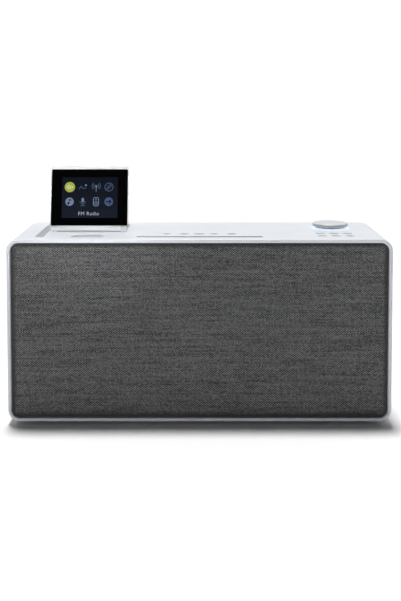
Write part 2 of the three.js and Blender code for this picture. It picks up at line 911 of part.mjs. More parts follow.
const panelBack = rearPanel.front + rearPanel.thickness;

// A box round a point in X and Z, through two distances on Y.
function aroundPoint({ x, z }, halfX, halfZ, y) {
  return block([x - halfX, x + halfX], y, [z - halfZ, z + halfZ]);
}

function rearPanelPlate() {
  const y = [behindFront(rearPanel.front - through), behindFront(panelBack + through)];
  const portHole = rod(port.outer + gap, ...y, "y", [port.x, 0, port.z], 24);
  const inletHole = aroundPoint(inlet, inlet.width / 2 + gap, inlet.height / 2 + gap, y);
  const jackHole = rod(jack.barrel + gap, ...y, "y", [jack.x, 0, jack.z], 16);
  const usbHole = aroundPoint(usb, usb.halfWidth + gap, usb.halfHeight + gap, y);
  return cut(innerPlate(rearPanel.front, rearPanel.thickness), portHole, inletHole, jackHole, usbHole);
}

// A tube with a lip outside the panel and a flared mouth.
function bassPort() {
  const back = panelBack + gap;
  const face = back + port.lipThickness;
  const tube = [
    [port.bore, back - port.length],
    [port.outer, back - port.length],
    [port.outer, back],
    [port.lip, back],
    [port.lip, face - port.lipEdge],
    [port.lip - port.lipEdge, face],
    [port.bore + port.flare, face],
    [port.bore + port.flare / 4, back - port.flareDepth / 4],
    [port.bore, back - port.flareDepth],
    [port.bore, back - port.length],
  ];
  piece("bass_port", turned(tube, "y", [port.x, frontY, port.z], 24), blackPlastic);
}

// A two-pin appliance inlet: a flange outside the panel and a body through it.
function mainsInlet() {
  const back = behindFront(panelBack);
  const at = [inlet.x, inlet.z];
  const bodySpan = [back - inlet.depth, back + through];
  const body = aroundPoint(inlet, inlet.width / 2, inlet.height / 2, bodySpan);
  const flangeWidth = inlet.width + 2 * inlet.flangeX;
  const flangeHeight = inlet.height + 2 * inlet.flangeZ;
  const flangeShape = roundedRectangle(flangeWidth, flangeHeight, inlet.flangeX, at);
  const flange = alongY(flangeShape, back + gap, back + inlet.flangeBack, 4);
  const mouthEnd = inlet.mouthHeight / 2 - 0.1;
  const mouthShape = roundedRectangle(inlet.mouthWidth, inlet.mouthHeight, mouthEnd, at);
  const mouth = alongY(mouthShape, back - inlet.mouthDepth, back + inlet.flangeBack + through, 5);
  const pinSpan = [back - inlet.mouthDepth - through, back - inlet.pinShort];
  const pins = [-1, 1].map((side) =>
    rod(inlet.pin, ...pinSpan, "y", [inlet.x + side * inlet.pinOffset, 0, inlet.z], 10),
  );
  piece("mains_inlet", join(cut(join(body, flange), mouth), ...pins), blackPlastic);
}

function signalSockets() {
  const low = behindFront(board.front + board.thickness + gap);
  const back = behindFront(panelBack);
  const jackAt = [jack.x, 0, jack.z];
  const jackBody = join(
    aroundPoint(jack, jack.half, jack.half, [low, back - jack.bodyBack]),
    rod(jack.barrel, back - jack.bodyBack - through, back + jack.proud, "y", jackAt, 16),
  );
  const jackBore = rod(jack.bore, back - jack.depth, back + jack.proud + through, "y", jackAt, 12);
  piece("aux_socket", cut(jackBody, jackBore), blackPlastic);

  const shell = aroundPoint(usb, usb.halfWidth, usb.halfHeight, [low, back + usb.proud]);
  const mouthX = usb.halfWidth - usb.wall;
  const mouthZ = usb.halfHeight - usb.wall;
  const mouth = aroundPoint(usb, mouthX, mouthZ, [back - usb.depth, back + usb.proud + through]);
  const tongue = block(
    [usb.x - usb.tongueHalf, usb.x + usb.tongueHalf],
    [back - usb.depth - through, back - through],
    [usb.z + usb.tongueLow, usb.z + usb.tongueHigh],
  );
  piece("usb_socket", join(cut(shell, mouth), tongue), steel);
}

function electronics() {
  const boardBack = board.front + board.thickness;
  const plate = block(
    [board.left, board.right],
    [behindFront(board.front), behindFront(boardBack)],
    [board.bottom, board.top],
  );
  piece("main_board", plate, circuitGreen);

  const sinkBack = behindFront(board.front - gap);
  const sinkHeight = [heatsink.bottom, heatsink.top];
  const sinkRight = heatsink.left + heatsink.width;
  const base = block([heatsink.left, sinkRight], [sinkBack - heatsink.base, sinkBack], sinkHeight);
  const pitch = (heatsink.width - heatsink.fin) / (heatsink.fins - 1);
  const fins = [];
  for (let i = 0; i < heatsink.fins; i++) {
    const left = heatsink.left + i * pitch;
    const finSpan = [sinkBack - heatsink.depth, sinkBack - heatsink.base / 2];
    fins.push(block([left, left + heatsink.fin], finSpan, sinkHeight));
  }
  piece("heatsink", join(base, ...fins), heatsinkMetal);

  const low = foot.height + cabinet.wall + supply.aboveFloor;
  const inBoard = low + supply.board / 2;
  const supplyPlate = block(
    [supply.left, supply.right],
    [behindFront(supply.front), behindFront(supply.back)],
    [low, low + supply.board],
  );
  const core = block(
    [transformer.left, transformer.right],
    [behindFront(transformer.front), behindFront(transformer.back)],
    [inBoard, low + transformer.height],
  );
  const capacitorY = behindFront(capacitor.behindFront);
  const capacitors = capacitor.xs.map((x) =>
    rod(capacitor.radius, inBoard, low + capacitor.height, "z", [x, capacitorY, 0], 14),
  );
  piece("power_supply", join(supplyPlate, core, ...capacitors), circuitGreen);
}

// ---------------------------------------------------------------------------------------------
// Telescopic antenna, folded flat along the top of the back
// ---------------------------------------------------------------------------------------------

// A turret that turns on the panel, with a fork and a cross pin for the rod's tongue.
function antennaTurret() {
  const turretTop = antennaAxis - rodRadius - 0.5;
  const earHalf = antenna.tongue + gap;
  const axis = behindFront(antennaAxis);
  const at = [antenna.x, axis, antenna.z];
  const span = [panelBack + gap, turretTop];
  const turret = rod(antenna.base, ...span, "y", [antenna.x, frontY, antenna.z], 16);
  const ears = [-1, 1].flatMap((side) => {
    const low = side < 0 ? -earHalf - antenna.ear : earHalf;
    const post = block(
      [antenna.x - antenna.knuckle, antenna.x + antenna.knuckle],
      [behindFront(turretTop - through), axis],
      [antenna.z + low, antenna.z + low + antenna.ear],
    );
    return [post, rod(antenna.knuckle, low, low + antenna.ear, "z", at, 16)];
  });
  const crossPin = rod(antenna.crossPin, -earHalf - through, earHalf + through, "z", at, 10);
  return join(turret, ...ears, crossPin);
}

function telescopicAntenna() {
  piece("antenna_base", antennaTurret(), chrome);

  // Nested tubes, each open at its tip. The first carries the tongue that fits the turret's fork.
  const axis = behindFront(antennaAxis);
  const start = antenna.x - antenna.knuckle - through;
  const tip = start - antenna.section;
  const rodAt = [0, axis, antenna.z];
  antenna.tubes.forEach((radius, i) => {
    const tubeStart = start - antenna.stagger * i;
    const tube = rod(radius, tip, tubeStart, "x", rodAt, 12);
    const closedEnd = tubeStart - antenna.stagger;
    const bore = rod(radius - antenna.wall, tip - through, closedEnd, "x", rodAt, 12);
    const body = i === 0 ? join(tube, antennaTongue(start)) : tube;
    const eye = rod(antenna.eye, -antenna.knuckle, antenna.knuckle, "z", [antenna.x, axis, antenna.z], 10);
    const tools = i === 0 ? [bore, eye] : [bore];
    piece(`antenna_section_${i + 1}`, cut(body, ...tools), chrome);
  });

  // The innermost section is a solid wire with a cap.
  const wire = rod(antenna.wire, tip - through, start - antenna.wireShort, "x", rodAt, 10);
  const cap = rod(rodRadius, tip - antenna.tip, tip - gap, "x", rodAt, 12);
  piece(`antenna_section_${antenna.tubes.length + 1}`, join(wire, cap), chrome);
}

function antennaTongue(start) {
  const axis = behindFront(antennaAxis);
  const bar = block(
    [start - through, antenna.x],
    [axis - antenna.tongueRadius, axis + antenna.tongueRadius],
    [antenna.z - antenna.tongue, antenna.z + antenna.tongue],
  );
  const eyeRim = rod(
    antenna.tongueRadius,
    -antenna.tongue,
    antenna.tongue,
    "z",
    [antenna.x, axis, antenna.z],
    16,
  );
  return join(bar, eyeRim);
}

// ---------------------------------------------------------------------------------------------
// The whole
// ---------------------------------------------------------------------------------------------

piece("cabinet_sleeve", cabinetSleeve(), whitePlastic);
feet();
piece("grille_cloth", innerPlate(cloth.front, cloth.thickness, cloth.inset), clothGrey);
piece("grille_frame", grilleFrame(), blackPlastic);
piece("baffle", speakerBaffle(), darkBoard);
flipUpDisplay();
displayHinge();
buttonPlaces().forEach(pushButton);
switchBoard("transport_board", buttonPlaces().slice(0, 5), 8);
switchBoard("key_board", buttonPlaces().slice(5), 7);
controlKnob();
cdLoader();
for (const [side, sign] of [["left", -1], ["right", 1]]) {
  wooferUnit(side, sign);
  tweeterUnit(side, sign);
}
piece("rear_panel", rearPanelPlate(), whitePlastic);
bassPort();
mainsInlet();
signalSockets();
electronics();
telescopicAntenna();

export default hifi;
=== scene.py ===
"""The looks of a mini hifi system: a white moulded cabinet with a woven grille, a flip-up display,
a disc slot, a row of transport buttons, a control dial over a light ring, and six keys.

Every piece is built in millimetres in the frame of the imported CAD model, and piece() scales it to
metres. Places come from the CAD nodes' boxes, so a piece lies where its node does.
"""

import json
import math

import bmesh
import bpy
from mathutils import Matrix, Vector, noise


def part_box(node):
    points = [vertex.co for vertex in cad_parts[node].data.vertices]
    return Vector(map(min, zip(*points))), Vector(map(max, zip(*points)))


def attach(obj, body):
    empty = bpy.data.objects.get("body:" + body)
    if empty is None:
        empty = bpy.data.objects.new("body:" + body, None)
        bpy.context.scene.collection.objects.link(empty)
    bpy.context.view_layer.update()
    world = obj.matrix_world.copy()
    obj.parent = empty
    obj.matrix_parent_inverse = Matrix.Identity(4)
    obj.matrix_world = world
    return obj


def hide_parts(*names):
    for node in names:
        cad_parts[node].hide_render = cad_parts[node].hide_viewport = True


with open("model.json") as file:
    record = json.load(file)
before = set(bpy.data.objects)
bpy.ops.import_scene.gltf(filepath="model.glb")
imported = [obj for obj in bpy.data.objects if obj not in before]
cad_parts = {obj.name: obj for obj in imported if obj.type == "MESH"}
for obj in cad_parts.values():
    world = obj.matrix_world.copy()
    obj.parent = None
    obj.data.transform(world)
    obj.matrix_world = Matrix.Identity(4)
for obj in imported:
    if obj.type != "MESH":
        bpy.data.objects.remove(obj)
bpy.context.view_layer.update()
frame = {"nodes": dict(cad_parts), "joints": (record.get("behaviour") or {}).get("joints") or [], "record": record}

MM = 0.001
TURN = 2 * math.pi


def box(node):
    """The lowest and highest corner of a CAD node, in millimetres."""
    low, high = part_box(node)
    return low / MM, high / MM


def span(node):
    """The lowest corner of a CAD node, its highest corner, and its middle."""
    low, high = box(node)
    return low, high, (low + high) / 2


def middle(node):
    return span(node)[2]


def joint_place(name):
    """Where a joint's axis lies, in millimetres."""
    joint = next(j for j in frame["joints"] if j["name"] == name)
    return Vector(joint["pos_m"]) / MM


# ---- Driving dimensions, in millimetres ----

CABINET_LOW, CABINET_HIGH = box("cabinet_sleeve")
TOP = CABINET_HIGH.z
FRONT = CABINET_LOW.y
BACK = CABINET_HIGH.y
WALL = 4.0
CORNER = 13.0
HINGE = joint_place("display_fold")
LEAN = math.radians(12.7)

LIP = 1.9
WELL = {"left": -182.0, "right": -84.2, "front": 16.0, "back": 113.5, "depth": 6.8, "corner": 1.6}
WELL_LEAN = {"left": 2.5, "right": 0.5}
WELL_FRONT = FRONT + WELL["front"]
WELL_BACK = FRONT + WELL["back"]
WELL_BOTTOM = TOP - WELL["depth"]
WELL_FLOOR = 8.2
SCOOP = {"x": -129.5, "behind_front": 50.0, "half": (19.0, 28.0, 5.6)}
SLOT = {"half": 70.0, "behind_front": 19.0, "width": 5.5}
DISPLAY = {"width": 93.6, "thickness": 6.2, "length": 75.6, "corner": 3.6}
GLASS = {"width": 91.2, "height": 67.6, "front": -3.0}
GLASS_CENTRE = (0.0, 0.0, 37.1)
PIN_ROOM = 1.4
IMAGE = {"width": 66.6, "height": 48.9, "x": 0.4, "z": 36.9}
FLANGE = 1.3
HOLE_CLEARANCE = 0.45
CLOTH_INSET = 0.5
RING = {"inner": 18.2, "outer": 22.4, "depth": 1.7, "gap": 0.3, "upstand": 1.4}
WEAVE = {"warp": 1.45, "weft": 1.05}

BUTTONS = ["previous_button", "stop_button", "play_pause_button", "next_button", "eject_button"]
KEYS = ["standby_key", "source_key", "menu_key", "back_key", "preset_key", "info_key"]


# ---- Materials ----


class Look:
    """A node material being built round one Principled shader, in the piece's own coordinates."""

    def __init__(self, name, colour, roughness, **inputs):
        self.material = bpy.data.materials.new(name)
        self.material.use_nodes = True
        self.tree = self.material.node_tree
        self.shader = self.tree.nodes["Principled BSDF"]
        self.place = self.tree.nodes.new("ShaderNodeTexCoord").outputs["Object"]
        self.material.diffuse_color = (*colour, 1.0)
        self.feed("Base Color", (*colour, 1.0))
        self.feed("Roughness", roughness)
        for socket, value in inputs.items():
            self.feed(socket.replace("_", " ").title().replace("Ior", "IOR"), value)

    def feed(self, socket, value):
        """Sets one of the shader's sockets, or links a node's output to it."""
        self.put(self.shader.inputs[socket], value)

    def put(self, socket, value):
        if isinstance(value, bpy.types.NodeSocket):
            self.tree.links.new(value, socket)
        else:
            socket.default_value = value

    def math(self, operation, *values):
        node = self.tree.nodes.new("ShaderNodeMath")
        node.operation = operation
        for socket, value in zip(node.inputs, values):
            self.put(socket, value)
        return node.outputs[0]

    def add(self, one, other):
        return self.math("ADD", one, other)

    def times(self, one, other):
        return self.math("MULTIPLY", one, other)

    def minus(self, one, other):
        return self.math("SUBTRACT", one, other)

    def axes(self):
        """The x, y and z of a place on the piece, in metres."""
        node = self.tree.nodes.new("ShaderNodeSeparateXYZ")
        self.put(node.inputs[0], self.place)
        return node.outputs[0], node.outputs[1], node.outputs[2]

    def vector(self, x, y, z):
        node = self.tree.nodes.new("ShaderNodeCombineXYZ")
        for socket, value in zip(node.inputs, (x, y, z)):
            self.put(socket, value)
        return node.outputs[0]

    def stretched(self, scale):
        """A place scaled on each axis, so that what reads it is drawn out along the small ones."""
        node = self.tree.nodes.new("ShaderNodeMapping")
        self.put(node.inputs["Vector"], self.place)
        node.inputs["Scale"].default_value = scale
        return node.outputs[0]

    def noise(self, size, detail=2.0, where=None):
        """Soft noise from 0 to 1 with blobs of about size millimetres."""
        node = self.tree.nodes.new("ShaderNodeTexNoise")
        self.put(node.inputs["Vector"], where or self.place)
        node.inputs["Scale"].default_value = 1 / (size * MM)
        node.inputs["Detail"].default_value = detail
        return node.outputs[0]

    def random(self, *values):
        """A random number from 0 to 1 for each set of three values."""
        node = self.tree.nodes.new("ShaderNodeTexWhiteNoise")
        node.noise_dimensions = "3D"
        self.put(node.inputs["Vector"], self.vector(*values))
        return node.outputs[0]

    def ranged(self, value, low, high, start=0.0, end=1.0):
        """A value that runs from start to end, as one from low to high."""
        node = self.tree.nodes.new("ShaderNodeMapRange")
        for socket, number in zip(node.inputs, (value, start, end, low, high)):
            self.put(socket, number)
        return node.outputs[0]

    def blend(self, share, one, other):
        node = self.tree.nodes.new("ShaderNodeMix")
        node.data_type = "RGBA"
        self.put(node.inputs[0], share)
        for socket, colour in ((node.inputs[6], one), (node.inputs[7], other)):
            self.put(socket, (*colour, 1.0) if isinstance(colour, tuple) else colour)
        return node.outputs[2]

    def bump(self, height, depth, strength=1.0):
        """Relief of depth millimetres where the height goes from 0 to 1."""
        node = self.tree.nodes.new("ShaderNodeBump")
        node.inputs["Strength"].default_value = strength
        node.inputs["Distance"].default_value = depth * MM
        self.put(node.inputs["Height"], height)
        self.feed("Normal", node.outputs[0])


def moulded(name, colour, roughness, grain=0.5, depth=0.012, **inputs):
    """Satin moulded plastic: spark-eroded grain, faint flow clouds and handling marks."""
    look = Look(name, colour, roughness, **inputs)
    fine = look.noise(grain)
    cloud = look.noise(38.0, 3.0)
    marks = look.noise(9.0, 4.0, look.stretched((1.0, 0.35, 1.0)))
    shade = look.add(look.ranged(cloud, -0.5, 0.5), look.ranged(fine, -0.35, 0.35))
    dim = tuple(c * 0.93 for c in colour)
    lit = tuple(min(1.0, c * 1.05) for c in colour)
    look.feed("Base Color", look.blend(look.add(shade, 0.5), dim, lit))
    look.feed("Roughness", look.ranged(marks, roughness - 0.06, roughness + 0.08, 0.3, 0.7))
    look.bump(fine, depth)
    return look.material


def brushed(name, colour, roughness, stretch, streak=0.35, depth=0.01, **inputs):
    """Metal with fine streaks drawn out along the axis whose stretch is smallest."""
    look = Look(name, colour, roughness, metallic=1.0, **inputs)
    lines = look.noise(streak, 3.0, look.stretched(stretch))
    patches = look.noise(14.0, 3.0)
    dim = tuple(c * 0.82 for c in colour)
    look.feed("Base Color", look.blend(look.ranged(patches, 0.0, 1.0, 0.3, 0.7), dim, colour))
    look.feed("Roughness", look.ranged(lines, roughness - 0.08, roughness + 0.14, 0.3, 0.7))
    look.bump(lines, depth)
    return look.material


def woven_cloth():
    """Plain weave of thick melange yarns: warp up the grille, weft across it."""
    look = Look("woven_cloth", (0.10, 0.10, 0.105), 0.92, sheen_weight=0.25, sheen_roughness=0.5)
    x, _, z = look.axes()
    slow = look.noise(26.0)
    drift = look.times(look.ranged(slow, -1.0, 1.0), 0.5)
    across = look.add(look.math("DIVIDE", x, WEAVE["warp"] * MM), drift)
    up = look.add(look.math("DIVIDE", z, WEAVE["weft"] * MM), drift)
    column, row = look.math("FLOOR", across), look.math("FLOOR", up)
    in_column, in_row = look.math("FRACT", across), look.math("FRACT", up)
    warp_over = look.math("PINGPONG", look.add(column, row), 1.0)
    weft_over = look.minus(1.0, warp_over)

    # Each yarn is round across and dips at both ends of each float.
    def crown(place, lift):
        return look.math("POWER", look.math("SINE", look.times(place, math.pi)), lift)

    warp_height = look.times(crown(in_column, 0.6), crown(in_row, 0.35))
    weft_height = look.times(crown(in_row, 0.6), crown(in_column, 0.35))
    height = look.add(look.times(warp_over, warp_height), look.times(weft_over, weft_height))

    # A yarn keeps its own tone for some way along. The weft is lighter than the warp.
    def yarn_tone(number, along, seed):
        start = look.times(look.random(number, seed, 2.0), 9.0)
        stretch = look.math("FLOOR", look.add(look.times(along, 0.045), start))
        whole = look.random(number, seed, 0.0)
        part = look.random(number, stretch, seed)
        return look.add(look.times(whole, 0.35), look.times(part, 0.65))

    warp_tone = look.add(look.times(yarn_tone(column, up, 3.7), 0.2), 0.06)
    weft_tone = look.add(look.times(yarn_tone(row, across, 8.1), 0.75), 0.5)
    tone = look.add(look.times(warp_over, warp_tone), look.times(weft_over, weft_tone))

    # On top of that come each float's own tone, long slubs, and single fibres.
    float_tone = look.random(column, row, 1.3)
    fibres = look.noise(0.22)
    tone = look.add(tone, look.times(look.ranged(float_tone, -1.0, 1.0), 0.34))
    slub = look.noise(3.2, 2.0, look.stretched((0.07, 1.0, 1.0)))
    tone = look.add(tone, look.ranged(slub, -0.14, 0.14, 0.3, 0.7))
    tone = look.add(tone, look.times(look.ranged(fibres, -1.0, 1.0), 0.12))
    # The colour goes darker where each yarn dips and is near black between yarns: painted shade in the weave.
    share = look.times(look.math("MAXIMUM", tone, 0.0), look.ranged(height, 0.25, 1.0))
    yarn = look.blend(share, (0.009, 0.009, 0.0093), (0.25, 0.252, 0.259))
    earthy = look.blend(share, (0.0085, 0.010, 0.008), (0.222, 0.234, 0.208))
    tint = look.ranged(look.noise(11.0, 1.0), 0.0, 0.35, 0.55, 0.75)

    # The cloth's colour goes nearly black towards the grille's edge: painted shade, for the shadow under the
    # cabinet's lip and round the frame.
    low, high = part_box("grille_cloth")
    middle_z = (low.z + high.z) / 2
    from_side = look.minus(high.x, look.math("ABSOLUTE", x))
    from_end = look.minus(high.z - middle_z, look.math("ABSOLUTE", look.minus(z, middle_z)))
    from_edge = look.math("MINIMUM", from_side, from_end)
    # Strength of the painted edge shade: strongest at the edge, gone 5 mm in.
    dark = look.ranged(from_edge, 0.85, 0.0, 0.5 * MM, 5.0 * MM)
    woven = look.blend(tint, yarn, earthy)
    # The woven colour is blended towards near black there, as painted shade.
    look.feed("Base Color", look.blend(dark, woven, (0.004, 0.004, 0.004)))
    look.bump(look.add(height, look.times(fibres, 0.3)), 0.22, 0.8)
    return look.material


def turned_metal():
    """The dial's pearly, spun face: rings about its own axis, and a satin side."""
    look = Look("turned_metal", (0.62, 0.64, 0.66), 0.34, metallic=0.12)
    centre = middle("control_knob") * MM
    x, y, z = look.axes()
    across = look.math("POWER", look.minus(x, centre.x), 2.0)
    along = look.math("POWER", look.minus(y, centre.y), 2.0)
    radius = look.math("SQRT", look.add(across, along))
    rings = look.noise(0.3, 2.0, look.vector(radius, 0.0, look.times(z, 0.4)))
    look.feed("Base Color", look.blend(rings, (0.60, 0.625, 0.65), (0.67, 0.69, 0.71)))
    look.feed("Roughness", look.ranged(rings, 0.30, 0.42, 0.3, 0.7))
    look.bump(rings, 0.006)
    return look.material


def lit_plastic(name, colour, grain=2.0):
    """Frosted plastic or a display's dots with light behind it, a little uneven."""
    look = Look(name, colour, 0.35)
    cloud = look.noise(grain)
    dim = tuple(c * 0.82 for c in colour)
    glow = look.blend(look.ranged(cloud, 0.0, 1.0, 0.3, 0.7), dim, colour)
    look.feed("Base Color", look.blend(0.9, glow, (0.0, 0.0, 0.0)))
    look.feed("Emission Color", glow)
    look.feed("Emission Strength", 1.0)
    return look.material


def black_glass():
    """Glossy cover glass with a black printed back, faint wipe marks and a little dust."""
    look = Look("black_glass", (0.0012, 0.0012, 0.0014), 0.05, specular_ior_level=0.12)
    wipes = look.noise(7.0, 4.0, look.stretched((1.0, 1.0, 0.3)))
    dust = look.noise(0.5, 1.0)
    look.feed("Roughness", look.ranged(wipes, 0.03, 0.12, 0.3, 0.8))
    speck = look.ranged(dust, 0.0, 1.0, 0.74, 0.80)
    look.feed("Base Color", look.blend(speck, (0.0012, 0.0012, 0.0014), (0.008, 0.008, 0.009)))
    return look.material


def screen_picture():
    """The lit panel: dark navy, brighter towards its lower edge, with a fine grid of dots."""
    look = Look("screen_picture", (0.004, 0.005, 0.008), 0.12, specular_ior_level=0.12)
    x, _, z = look.axes()
    low, high = box("display_lcd")
    fall = look.ranged(z, 1.0, 0.45, low.z * MM, high.z * MM)
    pitch = 0.42 * MM
    dots = look.math("SINE", look.times(x, TURN / pitch))
    lines = look.math("SINE", look.times(z, TURN / pitch))
    grid = look.ranged(look.times(dots, lines), 0.88, 1.0, -1.0, 1.0)
    haze = look.ranged(look.noise(16.0), 0.85, 1.15)
    share = look.times(look.times(fall, grid), haze)
    look.feed("Emission Color", look.blend(share, (0.0, 0.0, 0.0), (0.0078, 0.0106, 0.0172)))
    look.feed("Emission Strength", 1.0)
    look.feed("Base Color", look.blend(share, (0.001, 0.001, 0.002), (0.004, 0.005, 0.008)))
    return look.material


def circuit_board():
    """Green solder mask over copper tracks, with tinned pads."""
    look = Look("circuit_board", (0.02, 0.13, 0.07), 0.35)
    cells = look.tree.nodes.new("ShaderNodeTexVoronoi")
    cells.distance = "MANHATTAN"
    cells.feature = "F1"
    look.put(cells.inputs["Vector"], look.place)
    cells.inputs["Scale"].default_value = 1 / (5.5 * MM)
    tracks = look.ranged(cells.outputs["Distance"], 0.0, 1.0, 0.42, 0.50)
    pads = look.ranged(cells.outputs["Distance"], 1.0, 0.0, 0.05, 0.09)
    mask = look.blend(tracks, (0.012, 0.085, 0.045), (0.03, 0.17, 0.085))
    look.feed("Base Color", look.blend(pads, mask, (0.55, 0.56, 0.55)))
    look.feed("Roughness", look.ranged(look.noise(2.0), 0.28, 0.45))
    look.bump(tracks, 0.03)
    return look.material


def mottled(name, colour, dark, light, rough, grain, detail, depth, stretch=(1, 1, 1), **inputs):
    """A plain stuff between two colours and two roughnesses, with relief to match."""
    look = Look(name, colour, sum(rough) / 2, **inputs)
    fibres = look.noise(grain, detail, look.stretched(stretch))
    look.feed("Base Color", look.blend(fibres, dark, light))
    look.feed("Roughness", look.ranged(fibres, *rough))
    look.bump(fibres, depth)
    return look.material


SLOT_LOOKS = {
    "white_plastic": moulded("white_plastic", (0.70, 0.722, 0.765), 0.40),
    "key_plastic": moulded("cap_plastic", (0.58, 0.60, 0.635), 0.42, grain=0.35),
    "knob_metal": turned_metal(),
    "light_guide": lit_plastic("ring_glow", (0.74, 0.855, 0.985)),
    "grille_fabric": woven_cloth(),
    "black_plastic": moulded("black_plastic", (0.022, 0.022, 0.024), 0.52, grain=0.6, depth=0.03),
    "baffle_board": mottled(
        "fibre_board", (0.045, 0.038, 0.033), (0.02, 0.017, 0.015), (0.085, 0.072, 0.06),
        (0.7, 0.92), 0.9, 4.0, 0.06, (0.25, 1.0, 1.0),
    ),
    "display_glass": black_glass(),
    "lcd_panel": screen_picture(),
    "circuit_board": circuit_board(),
    "steel": brushed("zinc_steel", (0.56, 0.57, 0.58), 0.34, (1.0, 1.0, 0.08)),
    "chrome": brushed("chrome", (0.78, 0.79, 0.80), 0.16, (0.05, 1.0, 1.0), streak=0.2, depth=0.003),
    "heatsink_metal": brushed(
        "extruded_aluminium", (0.50, 0.52, 0.54), 0.42, (1.0, 1.0, 0.04), streak=0.5
    ),
    "magnet_iron": mottled(
        "dark_iron", (0.05, 0.05, 0.052), (0.03, 0.03, 0.032), (0.11, 0.11, 0.115),
        (0.38, 0.66), 3.0, 5.0, 0.05, metallic=0.6,
    ),
    "speaker_cone": mottled(
        "pressed_paper", (0.03, 0.03, 0.032), (0.012, 0.012, 0.013), (0.06, 0.06, 0.064),
        (0.65, 0.9), 0.7, 5.0, 0.05,
    ),
    "rubber": moulded("rubber", (0.018, 0.018, 0.019), 0.86, grain=0.8, depth=0.05),
}

# Looks of pieces that differ from their slot's own.
# The display case and hinge lugs are whiter than the cabinet's plastic: painted light, standing in for the front
# light on the display and its hinge.
CASE_WHITE_PAINTED_LIGHT = moulded("case_plastic_painted_light", (0.90, 0.91, 0.93), 0.34, grain=0.4)
SYMBOL_GREY = moulded("symbol_ink", (0.20, 0.21, 0.23), 0.55, grain=0.25, depth=0.004)
ICON_BLUE = lit_plastic("icon_blue", (0.048, 0.078, 0.165), grain=1.0)
ICON_PALE = lit_plastic("icon_pale", (0.15, 0.20, 0.30), grain=1.0)
ICON_LIME = lit_plastic("icon_lime", (0.35, 0.40, 0.05), grain=1.5)
ICON_CREAM = lit_plastic("icon_cream", (0.56, 0.60, 0.40), grain=1.0)
CAPTION = lit_plastic("caption_white", (0.40, 0.44, 0.53), grain=0.8)


# ---- Mesh tools ----


def rounded(corners, steps=4):
    """A line through (a, b) or (a, b, radius) corners, with an arc at each that has a radius."""
    line = []
    for i, corner in enumerate(corners):
        here = Vector(corner[:2])
        if len(corner) < 3:
            line.append(here)
            continue
        before = (Vector(corners[i - 1][:2]) - here).normalized()
        after = (Vector(corners[(i + 1) % len(corners)][:2]) - here).normalized()
        half = before.angle(after) / 2
        reach = corner[2] / math.tan(half)
        centre = here + (before + after).normalized() * (corner[2] / math.sin(half))
        start = here + before * reach - centre
        end = here + after * reach - centre
        for k in range(steps + 1):
            line.append(centre + start.slerp(end, k / steps) * corner[2])
    return line


def circle(radius, count, centre=(0.0, 0.0), start=0.0, sweep=TURN):
    """Points round a circle, or along an arc of it with both its ends."""
    steps = count if sweep == TURN else count - 1
    angles = [start + sweep * k / steps for k in range(count)]
    x, y = centre
    return [Vector((x + radius * math.cos(a), y + radius * math.sin(a))) for a in angles]


def rectangle(width, height, corner, steps=8, centre=(0.0, 0.0)):
    """A rectangle's outline with round corners, counter-clockwise from the right-hand side."""
    x, y = width / 2 - corner, height / 2 - corner
    points = []
    for quarter, (cx, cy) in enumerate([(x, y), (-x, y), (-x, -y), (x, -y)]):
        at = (centre[0] + cx, centre[1] + cy)
        points += circle(corner, steps + 1, at, quarter * TURN / 4, TURN / 4)
    return points


def skin(rings, closed=False):
    """A surface through rings of points, capped or closed on itself. A ring of one is a tip."""
    made = bmesh.new()
    rows = [[made.verts.new(p) for p in ring] for ring in rings]
    pairs = list(zip(rows, rows[1:]))
    if closed:
        pairs.append((rows[-1], rows[0]))
    for low, high in pairs:
        count = max(len(low), len(high))
        for i in range(count if count > 1 else 0):
            j = (i + 1) % count
            corners = [low[i % len(low)], low[j % len(low)], high[j % len(high)], high[i % len(high)]]
            made.faces.new(list(dict.fromkeys(corners)))
    if not closed:
        for row in (rows[0], rows[-1]):
            if len(row) > 2:
                made.faces.new(row)
    bmesh.ops.recalc_face_normals(made, faces=made.faces)
    return made


AXES = {
    "z": lambda a, b, along: Vector((a, b, along)),
    "y": lambda a, b, along: Vector((a, along, b)),
    "x": lambda a, b, along: Vector((along, a, b)),
}


def stood(outline, axis, along, centre):
    """A flat outline's points in space, square to an axis and so far along it."""
    return [Vector(centre) + AXES[axis](p[0], p[1], along) for p in outline]


def turned(profile, axis, centre, segments=48, closed=False):
    """A profile of (radius, distance along the axis) points, turned about an axis."""
    rings = []
    for radius, along in profile:
        flat = circle(radius, segments) if radius > 1e-6 else [(0.0, 0.0)]
        rings.append(stood(flat, axis, along, centre))
    return skin(rings, closed)


def rod(radius, low, high, axis, centre, segments, rims=(0, 0, 0), bore=0.0, steps=4):
    """A cylinder along an axis, or a tube round a bore. Its rims are round: low, high, inner high."""
    corners = [(radius, low, rims[0]), (radius, high, rims[1]), (bore, high, rims[2])]
    profile = [(bore, low)] + [corner if corner[2] else corner[:2] for corner in corners]
    return turned(rounded(profile, steps), axis, centre, segments, closed=bore > 0)


def slab(outline_of, axis, low, high, edge=0.0, centre=(0.0, 0.0, 0.0), steps=3):
    """A plate whose outline_of(inset) is drawn square to the axis, with round edges."""
    levels = [(0.0, low), (0.0, high)]
    if edge:
        angles = [k / steps * TURN / 4 for k in range(steps + 1)]
        arc = [(edge * (1 - math.sin(a)), edge * (1 - math.cos(a))) for a in angles]
        levels = [(inset, low + rise) for inset, rise in arc]
        levels += [(inset, high - rise) for inset, rise in reversed(arc)]
    return skin([stood(outline_of(inset), axis, along, centre) for inset, along in levels])


def plate(width, height, corner, axis, low, high, edge=0.0, centre=(0.0, 0.0, 0.0)):
    def outline(inset):
        return rectangle(width - 2 * inset, height - 2 * inset, max(corner - inset, 0.05))

    return slab(outline, axis, low, high, edge, centre)


def tile(outline, axis, low, high, centre=(0.0, 0.0, 0.0), inner=None):
    """A thin plate with that outline, or a loop of it round an inner outline."""
    loops = [(outline, low), (outline, high)]
    if inner:
        loops += [(inner, high), (inner, low)]
    return skin([stood(loop, axis, along, centre) for loop, along in loops], bool(inner))


